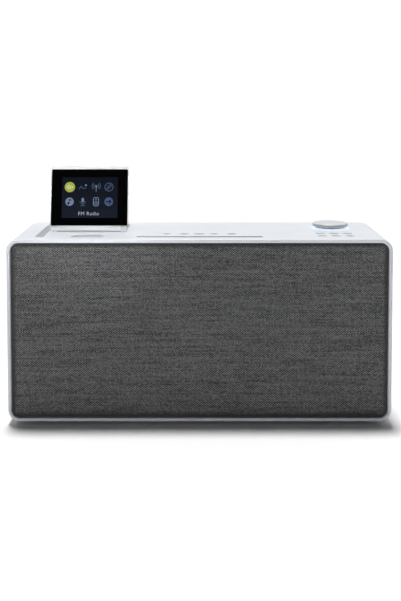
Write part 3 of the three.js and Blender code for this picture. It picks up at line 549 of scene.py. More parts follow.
def arc_outline(radius, width, start=0.0, sweep=TURN, centre=(0.0, 0.0), count=20):
    """The outline of an arc of that width, and its inner outline where it goes all the way round."""
    outer = circle(radius + width / 2, count, centre, start, sweep)
    inner = circle(radius - width / 2, count, centre, start, sweep)
    if sweep == TURN:
        return outer, inner
    return outer + inner[::-1], None


def block(low, high, corner=0.0):
    """A box between two corners, its upright edges rounded."""
    size, centre = Vector(high) - Vector(low), (Vector(high) + Vector(low)) / 2
    rim = max(corner, 0.01)
    return plate(size.x, size.y, rim, "z", low[2], high[2], centre=(centre.x, centre.y, 0.0))


def mesh_of(shape, name):
    mesh = bpy.data.meshes.new(name)
    shape.to_mesh(mesh)
    shape.free()
    return mesh


def placed(name, data):
    """A new object with that data, in the scene."""
    made = bpy.data.objects.new(name, data)
    bpy.context.scene.collection.objects.link(made)
    return made


def welded(shape):
    """Points that lie on one another become one, and faces with no area go."""
    bmesh.ops.remove_doubles(shape, verts=shape.verts, dist=1e-4)
    bmesh.ops.dissolve_degenerate(shape, edges=shape.edges, dist=1e-4)
    return shape


def together(*shapes):
    """Several shapes as one mesh, each still closed by itself."""
    whole = bmesh.new()
    for shape in shapes:
        part = mesh_of(shape, "part")
        whole.from_mesh(part)
        bpy.data.meshes.remove(part)
    return whole


def carved(base, *changes):
    """The base with shapes cut from it, or joined to it where a change is ("UNION", shape)."""
    body = placed("helper", mesh_of(base, "helper"))
    helpers = [body]
    for change in changes:
        operation, shape = change if isinstance(change, tuple) else ("DIFFERENCE", change)
        helpers.append(placed("helper", mesh_of(shape, "helper")))
        step = body.modifiers.new("step", "BOOLEAN")
        step.solver = "EXACT"
        step.operation = operation
        step.object = helpers[-1]
    graph = bpy.context.evaluated_depsgraph_get()
    result = bmesh.new()
    result.from_object(body, graph)
    for made in helpers:
        mesh = made.data
        bpy.data.objects.remove(made)
        bpy.data.meshes.remove(mesh)
    return welded(result)


def round_edges(shape, radius, chosen, segments=3, least=math.radians(35)):
    """Rounds the sharp edges that chosen(start, end) picks by their two ends."""
    edges = [
        e
        for e in shape.edges
        if len(e.link_faces) == 2
        and e.calc_face_angle(0.0) > least
        and chosen(e.verts[0].co, e.verts[1].co)
    ]
    bmesh.ops.bevel(
        shape, geom=edges, offset=radius, offset_type="OFFSET", segments=segments, profile=0.5,
        affect="EDGES", clamp_overlap=True,
    )
    return shape


def piece(name, shape, slot, nodes=(), sharp=30, body="cabinet", look=None, even=False, turn=None):
    """Sets a shape down as a finished piece that rides on a body and may stand for CAD nodes."""
    mesh = mesh_of(shape, name)
    mesh.transform(Matrix.Scale(MM, 4) @ (turn or Matrix.Identity(4)))
    mesh.shade_smooth()
    mesh.set_sharp_from_angle(angle=math.radians(sharp))
    mesh.materials.append(look or SLOT_LOOKS[slot])
    made = placed(name, mesh)
    if even:
        made.modifiers.new("even shading", "WEIGHTED_NORMAL").keep_sharp = True
    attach(made, body)
    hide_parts(*nodes)
    return made


# ---- Cabinet, feet and grille ----


def cap_radius(name):
    """The visible cap is smaller than the flange that the CAD box shows."""
    low, high = box(name)
    return (high.x - low.x) / 2 - FLANGE


def cap_holes():
    """A round hole in the top for each button and key."""
    holes = []
    for name in BUTTONS + KEYS:
        centre = middle(name)
        radius = cap_radius(name) + HOLE_CLEARANCE
        holes.append(rod(radius, TOP - WALL - 1, TOP + 1, "z", (centre.x, centre.y, 0), 40))
    return holes


def sleeve():
    """The cabinet's wall, with a half-round lip in front and a smaller one at the back."""
    size = CABINET_HIGH - CABINET_LOW
    centre = (CABINET_LOW + CABINET_HIGH) / 2
    back_inside, back_outside = 0.6, 1.4
    corners = [(0, FRONT, LIP), (WALL, FRONT, LIP), (WALL, BACK, back_inside), (0, BACK, back_outside)]
    rings = []
    for inset, y in rounded(corners, steps=5):
        width, height = size.x - 2 * inset, size.z - 2 * inset
        outline = rectangle(width, height, CORNER - inset, 16, (centre.x, centre.z))
        rings.append(stood(outline, "y", y, (0, 0, 0)))
    return skin(rings, closed=True)


def well_room():
    """The room that the display folds into. Its side walls lean out towards the top."""
    rings = []
    for share, height in ((1.0, WELL_BOTTOM), (0.0, TOP), (0.0, TOP + 2)):
        left = WELL["left"] + WELL_LEAN["left"] * share
        right = WELL["right"] - WELL_LEAN["right"] * share
        centre = ((left + right) / 2, (WELL_FRONT + WELL_BACK) / 2)
        outline = rectangle(right - left, WELL_BACK - WELL_FRONT, WELL["corner"], 6, centre)
        rings.append(stood(outline, "z", height, (0, 0, 0)))
    return skin(rings)


def finger_scoop():
    """A rounded bowl in the well's floor, cut off by the well's front wall."""
    steps = 14
    quarter = [TURN / 4 * k / steps for k in range(steps + 1)]
    bowl = [(math.sqrt(math.sin(a)), -math.sqrt(abs(math.cos(a)))) for a in quarter]
    ball = turned([*bowl, (1.0, 0.1), (0.0, 0.1)], "z", (0, 0, 0), 64)
    for vert in ball.verts:
        fourths = math.hypot(vert.co.x**2, vert.co.y**2)
        if fourths > 1e-9:
            squarer = math.hypot(vert.co.x, vert.co.y) / math.sqrt(fourths)
            vert.co.x, vert.co.y = vert.co.x * squarer, vert.co.y * squarer
    bmesh.ops.scale(ball, vec=SCOOP["half"], verts=ball.verts)
    place = (SCOOP["x"], FRONT + SCOOP["behind_front"], WELL_BOTTOM)
    bmesh.ops.translate(ball, vec=place, verts=ball.verts)
    behind_wall = block(
        (SCOOP["x"] - 30, WELL_FRONT, WELL_BOTTOM - 12), (SCOOP["x"] + 30, WELL_BACK, WELL_BOTTOM + 0.6)
    )
    return carved(ball, ("INTERSECT", behind_wall))


def cabinet():
    side, front, corner = 3.5, 3.0, 2.0
    boss = block(
        (WELL["left"] - side, WELL_FRONT - front, WELL_BOTTOM - WELL_FLOOR),
        (WELL["right"] + side, WELL_BACK + side, TOP - 1),
        corner,
    )
    slot_at = (0, FRONT + SLOT["behind_front"], 0)
    slot = plate(2 * SLOT["half"], SLOT["width"], 2.6, "z", TOP - WALL - 2, TOP + 2, centre=slot_at)
    dial = middle("control_knob")
    gap, dial_at = RING["gap"], (dial.x, dial.y, 0)
    groove_floor, shaft_room = TOP - RING["depth"] - gap, 3.6
    outer, inner = RING["outer"] + gap, RING["inner"] - gap
    groove = rod(outer, groove_floor, TOP + 1, "z", dial_at, 72, bore=inner)
    shaft_hole = rod(shaft_room, TOP - 6, TOP + 1, "z", dial_at, 32)
    holes = together(slot, *cap_holes(), groove, shaft_hole)
    shell = carved(sleeve(), ("UNION", boss), well_room(), finger_scoop(), holes)

    def on_top(one, other):
        return abs(one.z - TOP) < 1e-3 and abs(other.z - TOP) < 1e-3

    def round_scoop(one, other):
        return all(
            abs(p.z - WELL_BOTTOM) < 1e-3
            and abs(p.x - SCOOP["x"]) < SCOOP["half"][0] + 0.5
            and p.y > WELL_FRONT + 0.5
            for p in (one, other)
        )

    round_edges(shell, 0.35, on_top)
    round_edges(shell, 0.5, round_scoop, least=math.radians(12))
    piece("cabinet_shell", shell, "white_plastic", ["cabinet_sleeve"], 40, even=True)


def feet():
    for node in ("foot_front_left", "foot_front_right", "foot_rear_left", "foot_rear_right"):
        low, high, centre = span(node)
        radius, sole = (high.x - low.x) / 2, low.z + 0.35
        rim = [(0, low.z), (radius - 1.6, low.z), (radius - 1.2, sole), (radius, sole, 0.3)]
        profile = rounded([*rim, (radius, high.z, 0.25), (0, high.z)])
        shape = turned(profile, "z", (centre.x, centre.y, 0), 48)
        piece(node + "_pad", shape, "rubber", [node])


def grille():
    """One stretched cloth: a flat front, a soft edge, and a hem turned back along the frame."""
    low, high, centre = span("grille_cloth")
    half_x = (high.x - low.x) / 2 - CLOTH_INSET
    half_z = (high.z - low.z) / 2 - CLOTH_INSET
    corner, soft, depth, hem = 7.8, 5.0, 0.95, 0.05
    insets = [0.0, 0.08, 0.25, 0.55, 1.0, 1.7, 2.6, 3.7, soft, corner]

    def stops(half):
        step = 3.4
        count = round(2 * (half - corner) / step)
        inner = [corner - half + 2 * (half - corner) * k / count for k in range(1, count)]
        edge = [half - inset for inset in insets]
        return [-e for e in edge] + inner + list(reversed(edge))

    def place(x, z):
        """The point, moved in at a corner so that the outline is round, and how far in it is."""
        over_x, over_z = abs(x) - (half_x - corner), abs(z) - (half_z - corner)
        if over_x <= 0 or over_z <= 0:
            return x, z, min(half_x - abs(x), half_z - abs(z))
        reach = max(over_x, over_z)
        pull = reach / math.hypot(over_x, over_z)
        new_x = half_x - corner + over_x * pull
        new_z = half_z - corner + over_z * pull
        return math.copysign(new_x, x), math.copysign(new_z, z), corner - reach

    def point(x, z, turned_back):
        px, pz, inset = place(x, z)
        roll = max(0.0, soft - inset)
        drop = depth * (1 - math.sqrt(max(0.0, 1 - (roll / soft) ** 2)))
        slack = noise.noise(Vector((px, pz, 0.0)) / 34.0) * 0.08 * min(1.0, inset / 12.0)
        y = low.y + drop + slack + (hem if turned_back else 0.0)
        return Vector((centre.x + px, y, centre.z + pz))

    xs, zs = stops(half_x), stops(half_z)
    xs, zs = [xs[0], *xs, xs[-1]], [zs[0], *zs, zs[-1]]
    cloth = bmesh.new()
    rows = []
    for i, x in enumerate(xs):
        edge_x = i in (0, len(xs) - 1)
        hems = [edge_x or j in (0, len(zs) - 1) for j in range(len(zs))]
        rows.append([cloth.verts.new(point(x, z, hemmed)) for z, hemmed in zip(zs, hems)])
    for left, right in zip(rows, rows[1:]):
        for a, b, c, d in zip(left, right, right[1:], left[1:]):
            cloth.faces.new((a, b, c, d))
    welded(cloth)
    bmesh.ops.recalc_face_normals(cloth, faces=cloth.faces)
    made = piece("woven_grille", cloth, "grille_fabric", ["grille_cloth"], 80)
    thickness = made.modifiers.new("cloth thickness", "SOLIDIFY")
    thickness.thickness = 0.6 * MM
    thickness.offset = -1


# ---- Flip-up display ----

UPRIGHT = Matrix.Translation(HINGE) @ Matrix.Rotation(-LEAN, 4, "X")


def display_case():
    """A thin case with round edges, and the hinge barrel along its lower edge."""
    width, length, corner = DISPLAY["width"], DISPLAY["length"], DISPLAY["corner"]
    face = DISPLAY["thickness"] / 2
    bottom = 3.5
    knuckle_half, knuckle_gap = 3.9, 0.3
    barrel_half = middle("hinge_knuckle_right").x - HINGE.x - knuckle_half - knuckle_gap

    def outline(inset):
        centre = (0, (length + bottom) / 2)
        height = length - bottom - 2 * inset
        return rectangle(width - 2 * inset, height, max(corner - inset, 0.1), 10, centre)

    body = slab(outline, "y", -face, face, edge=1.1, steps=5)
    neck = block((-barrel_half, -face + 0.4, 0), (barrel_half, face - 0.4, bottom + 2.5), 0.3)
    barrel = rod(face, -barrel_half, barrel_half, "x", (0, 0, 0), 48, (0.35, 0.35, 0))
    glass_room = plate(
        GLASS["width"] + 0.5, GLASS["height"] + 0.5, 1.6, "y", -face - 1, -1.8, centre=GLASS_CENTRE
    )
    pin_room = rod(PIN_ROOM, -60, 60, "x", (0, 0, 0), 24)
    case = carved(body, ("UNION", neck), ("UNION", barrel), glass_room, pin_room)
    piece(
        "display_case", case, "white_plastic", ["display_housing"], 35, "display", CASE_WHITE_PAINTED_LIGHT,
        even=True, turn=UPRIGHT,
    )


def cover_glass():
    """The pane, and the lit picture as a film on it."""
    front = GLASS["front"]
    pane = plate(GLASS["width"], GLASS["height"], 1.4, "y", front, -2.0, 0.12, GLASS_CENTRE)
    piece("cover_glass", pane, "display_glass", ["display_glass"], body="display", turn=UPRIGHT)
    picture = plate(
        IMAGE["width"], IMAGE["height"], 0.4, "y", front - 0.015, front + 0.05,
        centre=(IMAGE["x"], 0, IMAGE["z"]),
    )
    piece("screen_picture", picture, "lcd_panel", ["display_lcd"], body="display", turn=UPRIGHT)


def ink(outline, lift, inner=None):
    """A thin tile of that outline on the screen, so far in front of the glass."""
    front = GLASS["front"] - lift
    return tile(outline, "y", front, front + 0.02, inner=inner)


def disc(lift, spot, x, z, radius):
    return ink(circle(radius, 36, (spot[0] + x, spot[1] + z)), lift)


def arc(lift, spot, x, z, radius, width, start=0.0, sweep=TURN, count=20):
    centre = (spot[0] + x, spot[1] + z)
    outer, inner = arc_outline(radius, width, start, sweep, centre, count)
    return ink(outer, lift, inner)


def stroke(lift, spot, x0, z0, x1, z1, width):
    """A straight line with round ends."""
    a, b = Vector((spot[0] + x0, spot[1] + z0)), Vector((spot[0] + x1, spot[1] + z1))
    heading = math.atan2(b.y - a.y, b.x - a.x)
    outline = circle(width / 2, 7, b, heading - TURN / 4, TURN / 2)
    outline += circle(width / 2, 7, a, heading + TURN / 4, TURN / 2)
    return ink(outline, lift)


def frame_line(lift, spot, width, height, corner, line):
    outer = rectangle(width, height, corner, 6, spot)
    inner = rectangle(width - 2 * line, height - 2 * line, corner - line, 6, spot)
    return ink(outer, lift, inner)


def screen_symbols():
    """Two rows of four source symbols, the first of them picked out."""
    near, far = 0.03, 0.05
    groups = {
        "lime": ("symbol_picked_disc", ICON_LIME, near),
        "cream": ("symbol_picked_mark", ICON_CREAM, far),
        "blue": ("symbols_blue", ICON_BLUE, near),
        "pale": ("symbols_pale", ICON_PALE, near),
        "dark": ("symbols_cutout", SLOT_LOOKS["display_glass"], far),
    }
    upper, lower = 49.4, 31.8
    first, second, third, fourth = -23.8, -8.0, 7.8, 23.1
    bars = ((-3.2, 1.1), (-1.1, 2.4), (1.1, 1.6), (3.2, 0.7))
    waves = [(radius, start) for radius in (3.0, 5.0) for start in (-TURN * 0.14, TURN * 0.36)]

    # Bars, a signal line with a dot, a mast with its waves, and a disc. Then a note on a disc, a
    # microphone, a loudspeaker box, and an input arrow on a disc.
    symbols = {
        (first, upper): [
            ("lime", disc, 0, 0, 6.2),
            *[("cream", stroke, x, -half, x, half, 1.3) for x, half in bars],
        ],
        (second, upper): [
            ("blue", stroke, -4.6, -2.4, -2.4, 1.2, 0.9),
            ("blue", stroke, -2.4, 1.2, -0.6, -1.4, 0.9),
            ("blue", stroke, -0.6, -1.4, 3.2, -1.4, 0.9),
            ("pale", disc, 3.4, 2.2, 1.2),
        ],
        (third, upper): [
            *[("blue", arc, 0, 1.2, radius, 0.8, start, TURN * 0.28) for radius, start in waves],
            ("pale", disc, 0, 1.2, 1.2),
            ("pale", stroke, 0, 0, 0, -5.0, 0.9),
        ],
        (fourth, upper): [
            ("blue", arc, 0, 0, 4.9, 0.9, 0.0, TURN, 36),
            ("blue", arc, 0, 0, 1.5, 0.8, 0.0, TURN, 24),
            ("blue", arc, 0, 0, 3.2, 0.8, TURN * 0.05, TURN * 0.17),
            ("blue", arc, 0, 0, 3.2, 0.8, TURN * 0.55, TURN * 0.17),
        ],
        (first, lower): [
            ("pale", disc, 0, 0, 5.0),
            ("dark", disc, -1.3, -2.0, 1.3),
            ("dark", stroke, -0.3, -2.0, -0.3, 2.6, 0.7),
            ("dark", stroke, -0.3, 2.6, 2.2, 1.7, 0.9),
        ],
        (second, lower): [
            ("pale", stroke, 0, 0.6, 0, 3.2, 3.0),
            ("blue", arc, 0, 0.8, 3.4, 0.8, TURN / 2, TURN / 2),
            ("blue", stroke, 0, -2.9, 0, -4.6, 0.8),
            ("blue", stroke, -2.4, -4.6, 2.4, -4.6, 0.8),
        ],
        (third, lower): [
            ("pale", frame_line, 7.0, 10.6, 2.4, 0.9),
            ("pale", arc, 0, -1.4, 1.6, 0.8, 0.0, TURN, 24),
            ("pale", disc, 0, 2.4, 0.8),
        ],
        (fourth, lower): [
            ("blue", disc, 0, 0, 5.2),
            ("dark", stroke, -3.0, 0, 2.6, 0, 1.0),
            ("dark", stroke, 0.6, 2.0, 2.6, 0, 1.0),
            ("dark", stroke, 0.6, -2.0, 2.6, 0, 1.0),
        ],
    }
    for group, (name, look, lift) in groups.items():
        marks = [(spot, mark) for spot, marks in symbols.items() for mark in marks if mark[0] == group]
        shapes = [draw(lift, spot, *numbers) for spot, (_, draw, *numbers) in marks]
        piece(name, together(*shapes), "lcd_panel", body="display", look=look, turn=UPRIGHT)


def caption():
    """A plain source name under the symbols."""
    curve = bpy.data.curves.new("caption", "FONT")
    curve.body = "FM Radio"
    curve.size = 5.9
    curve.space_character = 1.12
    curve.extrude = 0.01
    curve.align_x = "CENTER"
    curve.align_y = "CENTER"
    words = placed("caption", curve)
    graph = bpy.context.evaluated_depsgraph_get()
    outlines = bpy.data.meshes.new_from_object(words.evaluated_get(graph))
    letters = bmesh.new()
    letters.from_mesh(outlines)
    bpy.data.meshes.remove(outlines)
    bpy.data.objects.remove(words)
    bpy.data.curves.remove(curve)
    bmesh.ops.remove_doubles(letters, verts=letters.verts, dist=1e-4)
    place = (-0.8, GLASS["front"] - 0.03, 17.4)
    stand = Matrix.Translation(place) @ Matrix.Rotation(TURN / 4, 4, "X")
    bmesh.ops.transform(letters, matrix=stand, verts=letters.verts)
    piece("screen_caption", letters, "lcd_panel", body="display", look=CAPTION, turn=UPRIGHT)


def hinge_lugs():
    for side in ("left", "right"):
        node = f"hinge_knuckle_{side}"
        low, high, centre = span(node)
        half, radius = (high.x - low.x) / 2, (high.y - low.y) / 2
        centre = (centre.x, HINGE.y, HINGE.z)
        barrel = rod(radius, -half, half, "x", centre, 48, (0.45, 0.45, 0), steps=3)
        foot = block((low.x + 0.15, low.y + 0.1, low.z), (high.x - 0.15, high.y - 0.1, HINGE.z), 0.5)
        lug = carved(barrel, ("UNION", foot), rod(PIN_ROOM, -9, 9, "x", centre, 24))
        piece(f"hinge_lug_{side}", lug, "white_plastic", [node], 40, look=CASE_WHITE_PAINTED_LIGHT, even=True)


# ---- Buttons, keys and dial ----


def cap_symbol(name, x, y, z):
    """The printed mark on a cap, as thin tiles just proud of it."""

    def mark(outline, inner=None):
        return tile(outline, "z", z, z + 0.03, (x, y, 0.0), inner)

    def bar(cx, cy, width, height):
        return mark(rectangle(width, height, 0.08, 2, (cx, cy)))

    def arrow(cx, way, size=1.0):
        return mark([(cx - way * size, -size), (cx + way * size, 0.0), (cx - way * size, size)][::way])

    def hoop(radius, start=0.0, sweep=TURN):
        return mark(*arc_outline(radius, 0.34, start, sweep, count=24))

    star = [p * (1.9 if k % 2 == 0 else 0.8) for k, p in enumerate(circle(1.0, 10, start=TURN / 4))]
    marks = {
        "previous_button": [bar(-1.9, 0, 0.4, 2.0), arrow(-0.6, -1), arrow(1.2, -1)],
        "stop_button": [bar(0, 0, 2.2, 2.2)],
        "play_pause_button": [arrow(-1.1, 1, 1.25), bar(0.9, 0, 0.5, 2.4), bar(2.0, 0, 0.5, 2.4)],
        "next_button": [arrow(-1.2, 1), arrow(0.6, 1), bar(1.9, 0, 0.4, 2.0)],
        "eject_button": [mark([(-1.5, -0.2), (1.5, -0.2), (0.0, 1.5)]), bar(0, -1.0, 3.0, 0.5)],
        "standby_key": [hoop(1.5, TURN * 0.32, TURN * 0.86), bar(0, 1.4, 0.36, 1.5)],
        "source_key": [hoop(1.7), arrow(0.1, 1, 0.7)],
        "menu_key": [bar(0, dy, 3.0, 0.36) for dy in (-1.0, 0.0, 1.0)],
        "back_key": [arrow(-0.9, -1, 0.9), bar(0.8, 0, 1.9, 0.36)],
        "preset_key": [mark(star)],
        "info_key": [bar(0, -0.5, 0.5, 1.8), bar(0, 1.3, 0.5, 0.5)],
    }
    return together(*marks[name])


def push_caps():
    """Round caps with a shallow dished top, a flange under the cabinet and a switch stem."""
    stem, dish, dish_share = 1.6, 0.28, 0.86
    flange = TOP - WALL - 0.3
    under = flange - 1.2
    for name in BUTTONS + KEYS:
        low, high, centre = span(name)
        radius = cap_radius(name)
        profile = [
            (0, low.z),
            (stem, low.z),
            (stem, under),
            (radius + FLANGE, under, 0.2),
            (radius + FLANGE, flange, 0.2),
            (radius, flange),
            (radius, high.z - 0.05, 0.45),
            (radius * dish_share, high.z),
        ]
        bowl = [
            Vector((radius * share, high.z - dish * (1 - (share / dish_share) ** 2)))
            for share in (0.78, 0.66, 0.52, 0.36, 0.18, 0.0)
        ]
        cap = turned(rounded(profile, steps=5) + bowl, "z", (centre.x, centre.y, 0), 56)
        piece(name + "_cap", cap, "key_plastic", [name], 40, name)
        mark = cap_symbol(name, centre.x, centre.y, high.z - dish + 0.01)
        piece(name + "_mark", mark, "key_plastic", body=name, look=SYMBOL_GREY)


def control_dial():
    """A low drum on a narrow hub, its underside high enough to show the light round it."""
    low, high, centre = span("control_knob")
    radius = (high.x - low.x) / 2
    bore, hub, bore_top = 3.3, 5.7, high.z - 1.5
    under = TOP + 2.7
    rim = [
        (bore, low.z),
        (hub, low.z),
        (hub, under),
        (radius - 0.5, under, 0.2),
        (radius, under + 0.5, 0.3),
        (radius, high.z - 0.55, 0.45),
        (radius - 0.9, high.z - 0.02, 0.25),
        (radius - 1.6, high.z - 0.08, 0.2),
        (0, high.z - 0.05),
    ]
    profile = rounded(rim) + [Vector(p) for p in ((0, bore_top), (bore, bore_top), (bore, low.z))]
    dial = turned(profile, "z", (centre.x, centre.y, 0), 128)
    bmesh.ops.remove_doubles(dial, verts=dial.verts, dist=1e-4)
    piece("control_dial", dial, "knob_metal", ["control_knob"], 28, "knob")


def glow_ring():
    low, high, centre = span("light_ring")
    at, inner = (centre.x, centre.y, 0), RING["inner"]
    band = rod(RING["outer"], low.z, high.z, "z", at, 128, (0, 0.3, 0.15), inner)
    piece("glow_ring", band, "light_guide", ["light_ring"], 40)
    top = high.z + RING["upstand"]
    fence_wall = 1.4
    fence = rod(inner + fence_wall, high.z, top, "z", at, 128, (0, 0.3, 0.3), inner)
    piece("glow_upstand", fence, "light_guide")


# ---- Back of the cabinet ----


def screw_head(x, y, z):
    """A cross-head screw that faces back, in a shallow pan."""
    pan = rounded([(0, -0.6), (2.9, -0.6), (2.9, 0.2, 0.3), (2.2, 0.75, 0.4), (0, 0.9)])
    head = turned(pan, "y", (x, y, z), 32)
    cross = ((1.9, 0.3), (0.3, 1.9))
    arms = [block((x - a, y + 0.1, z - b), (x + a, y + 2.0, z + b), 0.1) for a, b in cross]
    return carved(head, *arms)


def rear_cover():
    low, high, centre = span("rear_panel")
    width, height = high.x - low.x, high.z - low.z
    cover = plate(width, height, 8.7, "y", low.y, high.y, 0.5, (centre.x, 0, centre.z))
    port, inlet = middle("bass_port"), middle("mains_inlet")
    aux, usb = middle("aux_socket"), middle("usb_socket")
    through = (low.y - 2, high.y + 2)

    def hole(radius, x, z, depth=through):
        return rod(radius, *depth, "y", (x, 0, z), 64)

    port_room, aux_room, screw_room, screw_inset = 22.3, 4.3, 3.6, 9
    inlet_hole = plate(24.6, 16.6, 1.0, "y", *through, centre=(inlet.x, 0, inlet.z))
    usb_hole = plate(15.2, 7.8, 0.6, "y", *through, centre=(usb.x, 0, usb.z))
    panel_x = (aux.x + usb.x) / 2
    sockets_recess = plate(64, 22, 3.0, "y", high.y - 0.7, high.y + 2, centre=(panel_x, 0, aux.z))
    vent_x, vent_z, vent_pitch, vent_count = -25, 78, 6.0, 9
    vent_places = [(vent_x, 0, vent_z + k * vent_pitch) for k in range(vent_count)]
    vents = [plate(44, 2.2, 1.05, "y", high.y - 1.6, high.y + 2, centre=at) for at in vent_places]
    places = [
        (centre.x + sx * (width / 2 - screw_inset), centre.z + sz * (height / 2 - screw_inset))
        for sx in (-1, -0.34, 0.34, 1)
        for sz in (-1, 1)
    ]
    # None where the folded antenna lies.
    antenna_x = (0, 170)
    places = [(x, z) for x, z in places if z < centre.z or not antenna_x[0] < x < antenna_x[1]]
    pans = [hole(screw_room, x, z, (high.y - 1.1, high.y + 2)) for x, z in places]
    holes = together(hole(port_room, port.x, port.z), inlet_hole, hole(aux_room, aux.x, aux.z))
    cover = carved(cover, holes, sockets_recess, usb_hole, together(*vents), together(*pans))

    def outside(one, other):
        return one.y > high.y - 1e-3 and other.y > high.y - 1e-3

    round_edges(cover, 0.3, outside, segments=2)
    piece("rear_cover", cover, "white_plastic", ["rear_panel"], 40, even=True)
    screws = together(*[screw_head(x, high.y - 1.0, z) for x, z in places])
    piece("rear_screws", screws, "steel")


def port_flare():
    """A moulded reflex port: the flare outside, a straight tube inside."""
    low, high, centre = span("bass_port")
    bore, wall = 19.5, 22
    lip = (high.x - low.x) / 2
    back = high.y - 1.5
    profile = [
        (bore, low.y, 0.6),
        (wall, low.y, 0.6),
        (wall, back),
        (lip, back, 0.15),
        (lip, back + 0.9, 0.5),
        (lip - 1.6, high.y, 0.5),
        (wall + 1.2, high.y, 1.6),
        (bore, back - 6, 5.0),
    ]
    flare = turned(rounded(profile, steps=8), "y", (centre.x, 0, centre.z), 96, closed=True)
    piece("port_flare", flare, "black_plastic", ["bass_port"], 40)


def mains_socket():
    """A two-pin inlet: a flange on the rear cover, a body inside it, and two round pins."""
    low, high, centre = span("mains_inlet")
    at = (centre.x, 0, centre.z)
    panel = box("rear_panel")[1].y
    flange = plate(30, 21, 3.0, "y", panel + 0.3, high.y, 0.45, at)
    body = plate(24, 16, 1.0, "y", low.y, panel + 1, 0.3, at)
    mouth = plate(16.8, 8.6, 4.2, "y", panel - 11, high.y + 2, centre=at)
    shell = carved(body, ("UNION", flange), mouth)
    piece("mains_socket", shell, "black_plastic", ["mains_inlet"], 35, even=True)
    pin, half_pitch = 1.2, 4.3
    places = [(centre.x + side * half_pitch, 0, centre.z) for side in (-1, 1)]
    pins = [rod(pin, panel - 11.5, panel - 1.5, "y", place, 24, (0, 0.6, 0)) for place in places]
    piece("mains_pins", together(*pins), "chrome")


def signal_sockets():
    """A round jack with a bright ring, and a flat socket with a tongue."""
    low, high, centre = span("aux_socket")
    at = (centre.x, 0, centre.z)
    panel, back = box("rear_panel")[1].y, high.y + 0.1
    body = plate(12, 12, 0.8, "y", low.y, panel - 3.4, 0.2, at)
    barrel = rod(4, panel - 4, high.y, "y", at, 48, (0, 0.4, 0))
    mouth = [(0, panel - 12), (1.8, panel - 12), (1.8, high.y - 0.5), (2.4, back), (0, back)]
    jack = carved(body, ("UNION", barrel), turned(mouth, "y", at, 32))
    piece("aux_jack", jack, "black_plastic", ["aux_socket"], 35, even=True)
    profile = rounded([(2.3, 0.1), (3.9, 0.1), (3.9, 0.25, 0.1), (2.3, 0.35, 0.1)])
    ring = turned(profile, "y", (centre.x, high.y - 0.1, centre.z), 48, closed=True)
    piece("aux_jack_ring", ring, "chrome")

    low, high, centre = span("usb_socket")
    at = (centre.x, 0, centre.z)
    shell = plate(14.4, 7.0, 0.6, "y", low.y, high.y, 0.15, at)
    sleeve = carved(shell, plate(12.4, 5.0, 0.3, "y", high.y - 11, high.y + 2, centre=at))
    piece("usb_shell", sleeve, "steel", ["usb_socket"], 35, even=True)
    tongue = plate(10.8, 1.6, 0.2, "y", high.y - 11, high.y - 1.2, 0.1, (centre.x, 0, centre.z + 1.0))
    piece("usb_tongue", tongue, "black_plastic")


def antenna():
    """The turret with its fork, and four nested tubes that end in a cap."""
    centre = middle("antenna_base")
    panel = box("rear_panel")[1].y + 0.3
    axis = joint_place("antenna_lift").y
    z, across, line = centre.z, (centre.x, axis, 0), (0, axis, centre.z)
    turret_top, ear_radius, ear_faces = axis - 3.5, 3.15, (2.2, 3.8)
    changes = []
    for side in (-1, 1):
        z0, z1 = sorted(z + side * face for face in ear_faces)
        arm = block((centre.x - 3.1, turret_top - 1, z0), (centre.x + 3.1, axis, z1), 0.05)
        ear = rod(ear_radius, z0, z1, "z", across, 40, (0.25, 0.25, 0))
        changes += [("UNION", arm), ("UNION", ear)]
    changes.append(("UNION", rod(0.9, z - 3.4, z + 3.4, "z", across, 24)))
    turret = rod(6.5, panel, turret_top, "y", (centre.x, 0, z), 56, (0.2, 0.7, 0))
    fork = carved(turret, *changes)
    piece("antenna_turret", fork, "chrome", ["antenna_base"], 35, "antenna_base", even=True)

    wall, eye, half = 0.5, 2.6, 1.85
    radii = [3.0, 2.2, 1.4, 0.65]
    for number, radius in enumerate(radii, 1):
        node = f"antenna_section_{number}"
        low, high = box(node)
        if number == 1:
            start = centre.x - 4.2
            tube = rod(radius, low.x, start, "x", line, 40, (0.15, 0.3, 0), radius - wall)
            tongue = block((start - 3, axis - 2.5, z - half), (centre.x, axis + 2.5, z + half), 0.1)
            tube = carved(
                tube,
                ("UNION", tongue),
                ("UNION", rod(eye, z - half, z + half, "z", across, 32)),
                rod(1.2, z - 5, z + 5, "z", across, 24),
            )
        elif number < len(radii):
            tube = rod(radius, low.x, high.x, "x", line, 32, (0.15, 0, 0), radius - wall)
        else:
            cap, cap_end = 3.0, low.x + 4.7
            profile = [(0, low.x), (cap, low.x, 0.9), (cap, cap_end, 0.4)]
            profile += [(radius, cap_end), (radius, high.x), (0, high.x)]
            tube = turned(rounded(profile), "x", line, 40)
        piece(f"antenna_tube_{number}", tube, "chrome", [node], 35, node)


# ---- Room ----

LENS = 54.053
SHIFT = -0.27
CAMERA_AT = Vector((0.0009, -1.0387, 0.3649))
CAMERA_PITCH = 0.0525


def camera():
    """Just above the cabinet and looking almost level, from about a metre in front of it."""
    data = bpy.data.cameras.new("camera")
    data.lens = LENS
    data.sensor_width = 36.0
    data.shift_y = SHIFT
    data.clip_end = 50.0
    made = placed("camera", data)
    made.location = CAMERA_AT
    made.rotation_euler = (TURN / 4 - CAMERA_PITCH, 0.0, 0.0)
    bpy.context.scene.camera = made


def lamp(name, kind, energy, place, target, **settings):
    data = bpy.data.lights.new(name, kind)
    data.energy = energy
    for key, value in settings.items():
        setattr(data, key, value)
    made = placed(name, data)
    made.location = place
    made.rotation_euler = (Vector(target) - Vector(place)).to_track_quat("-Z", "Y").to_euler()
    return made


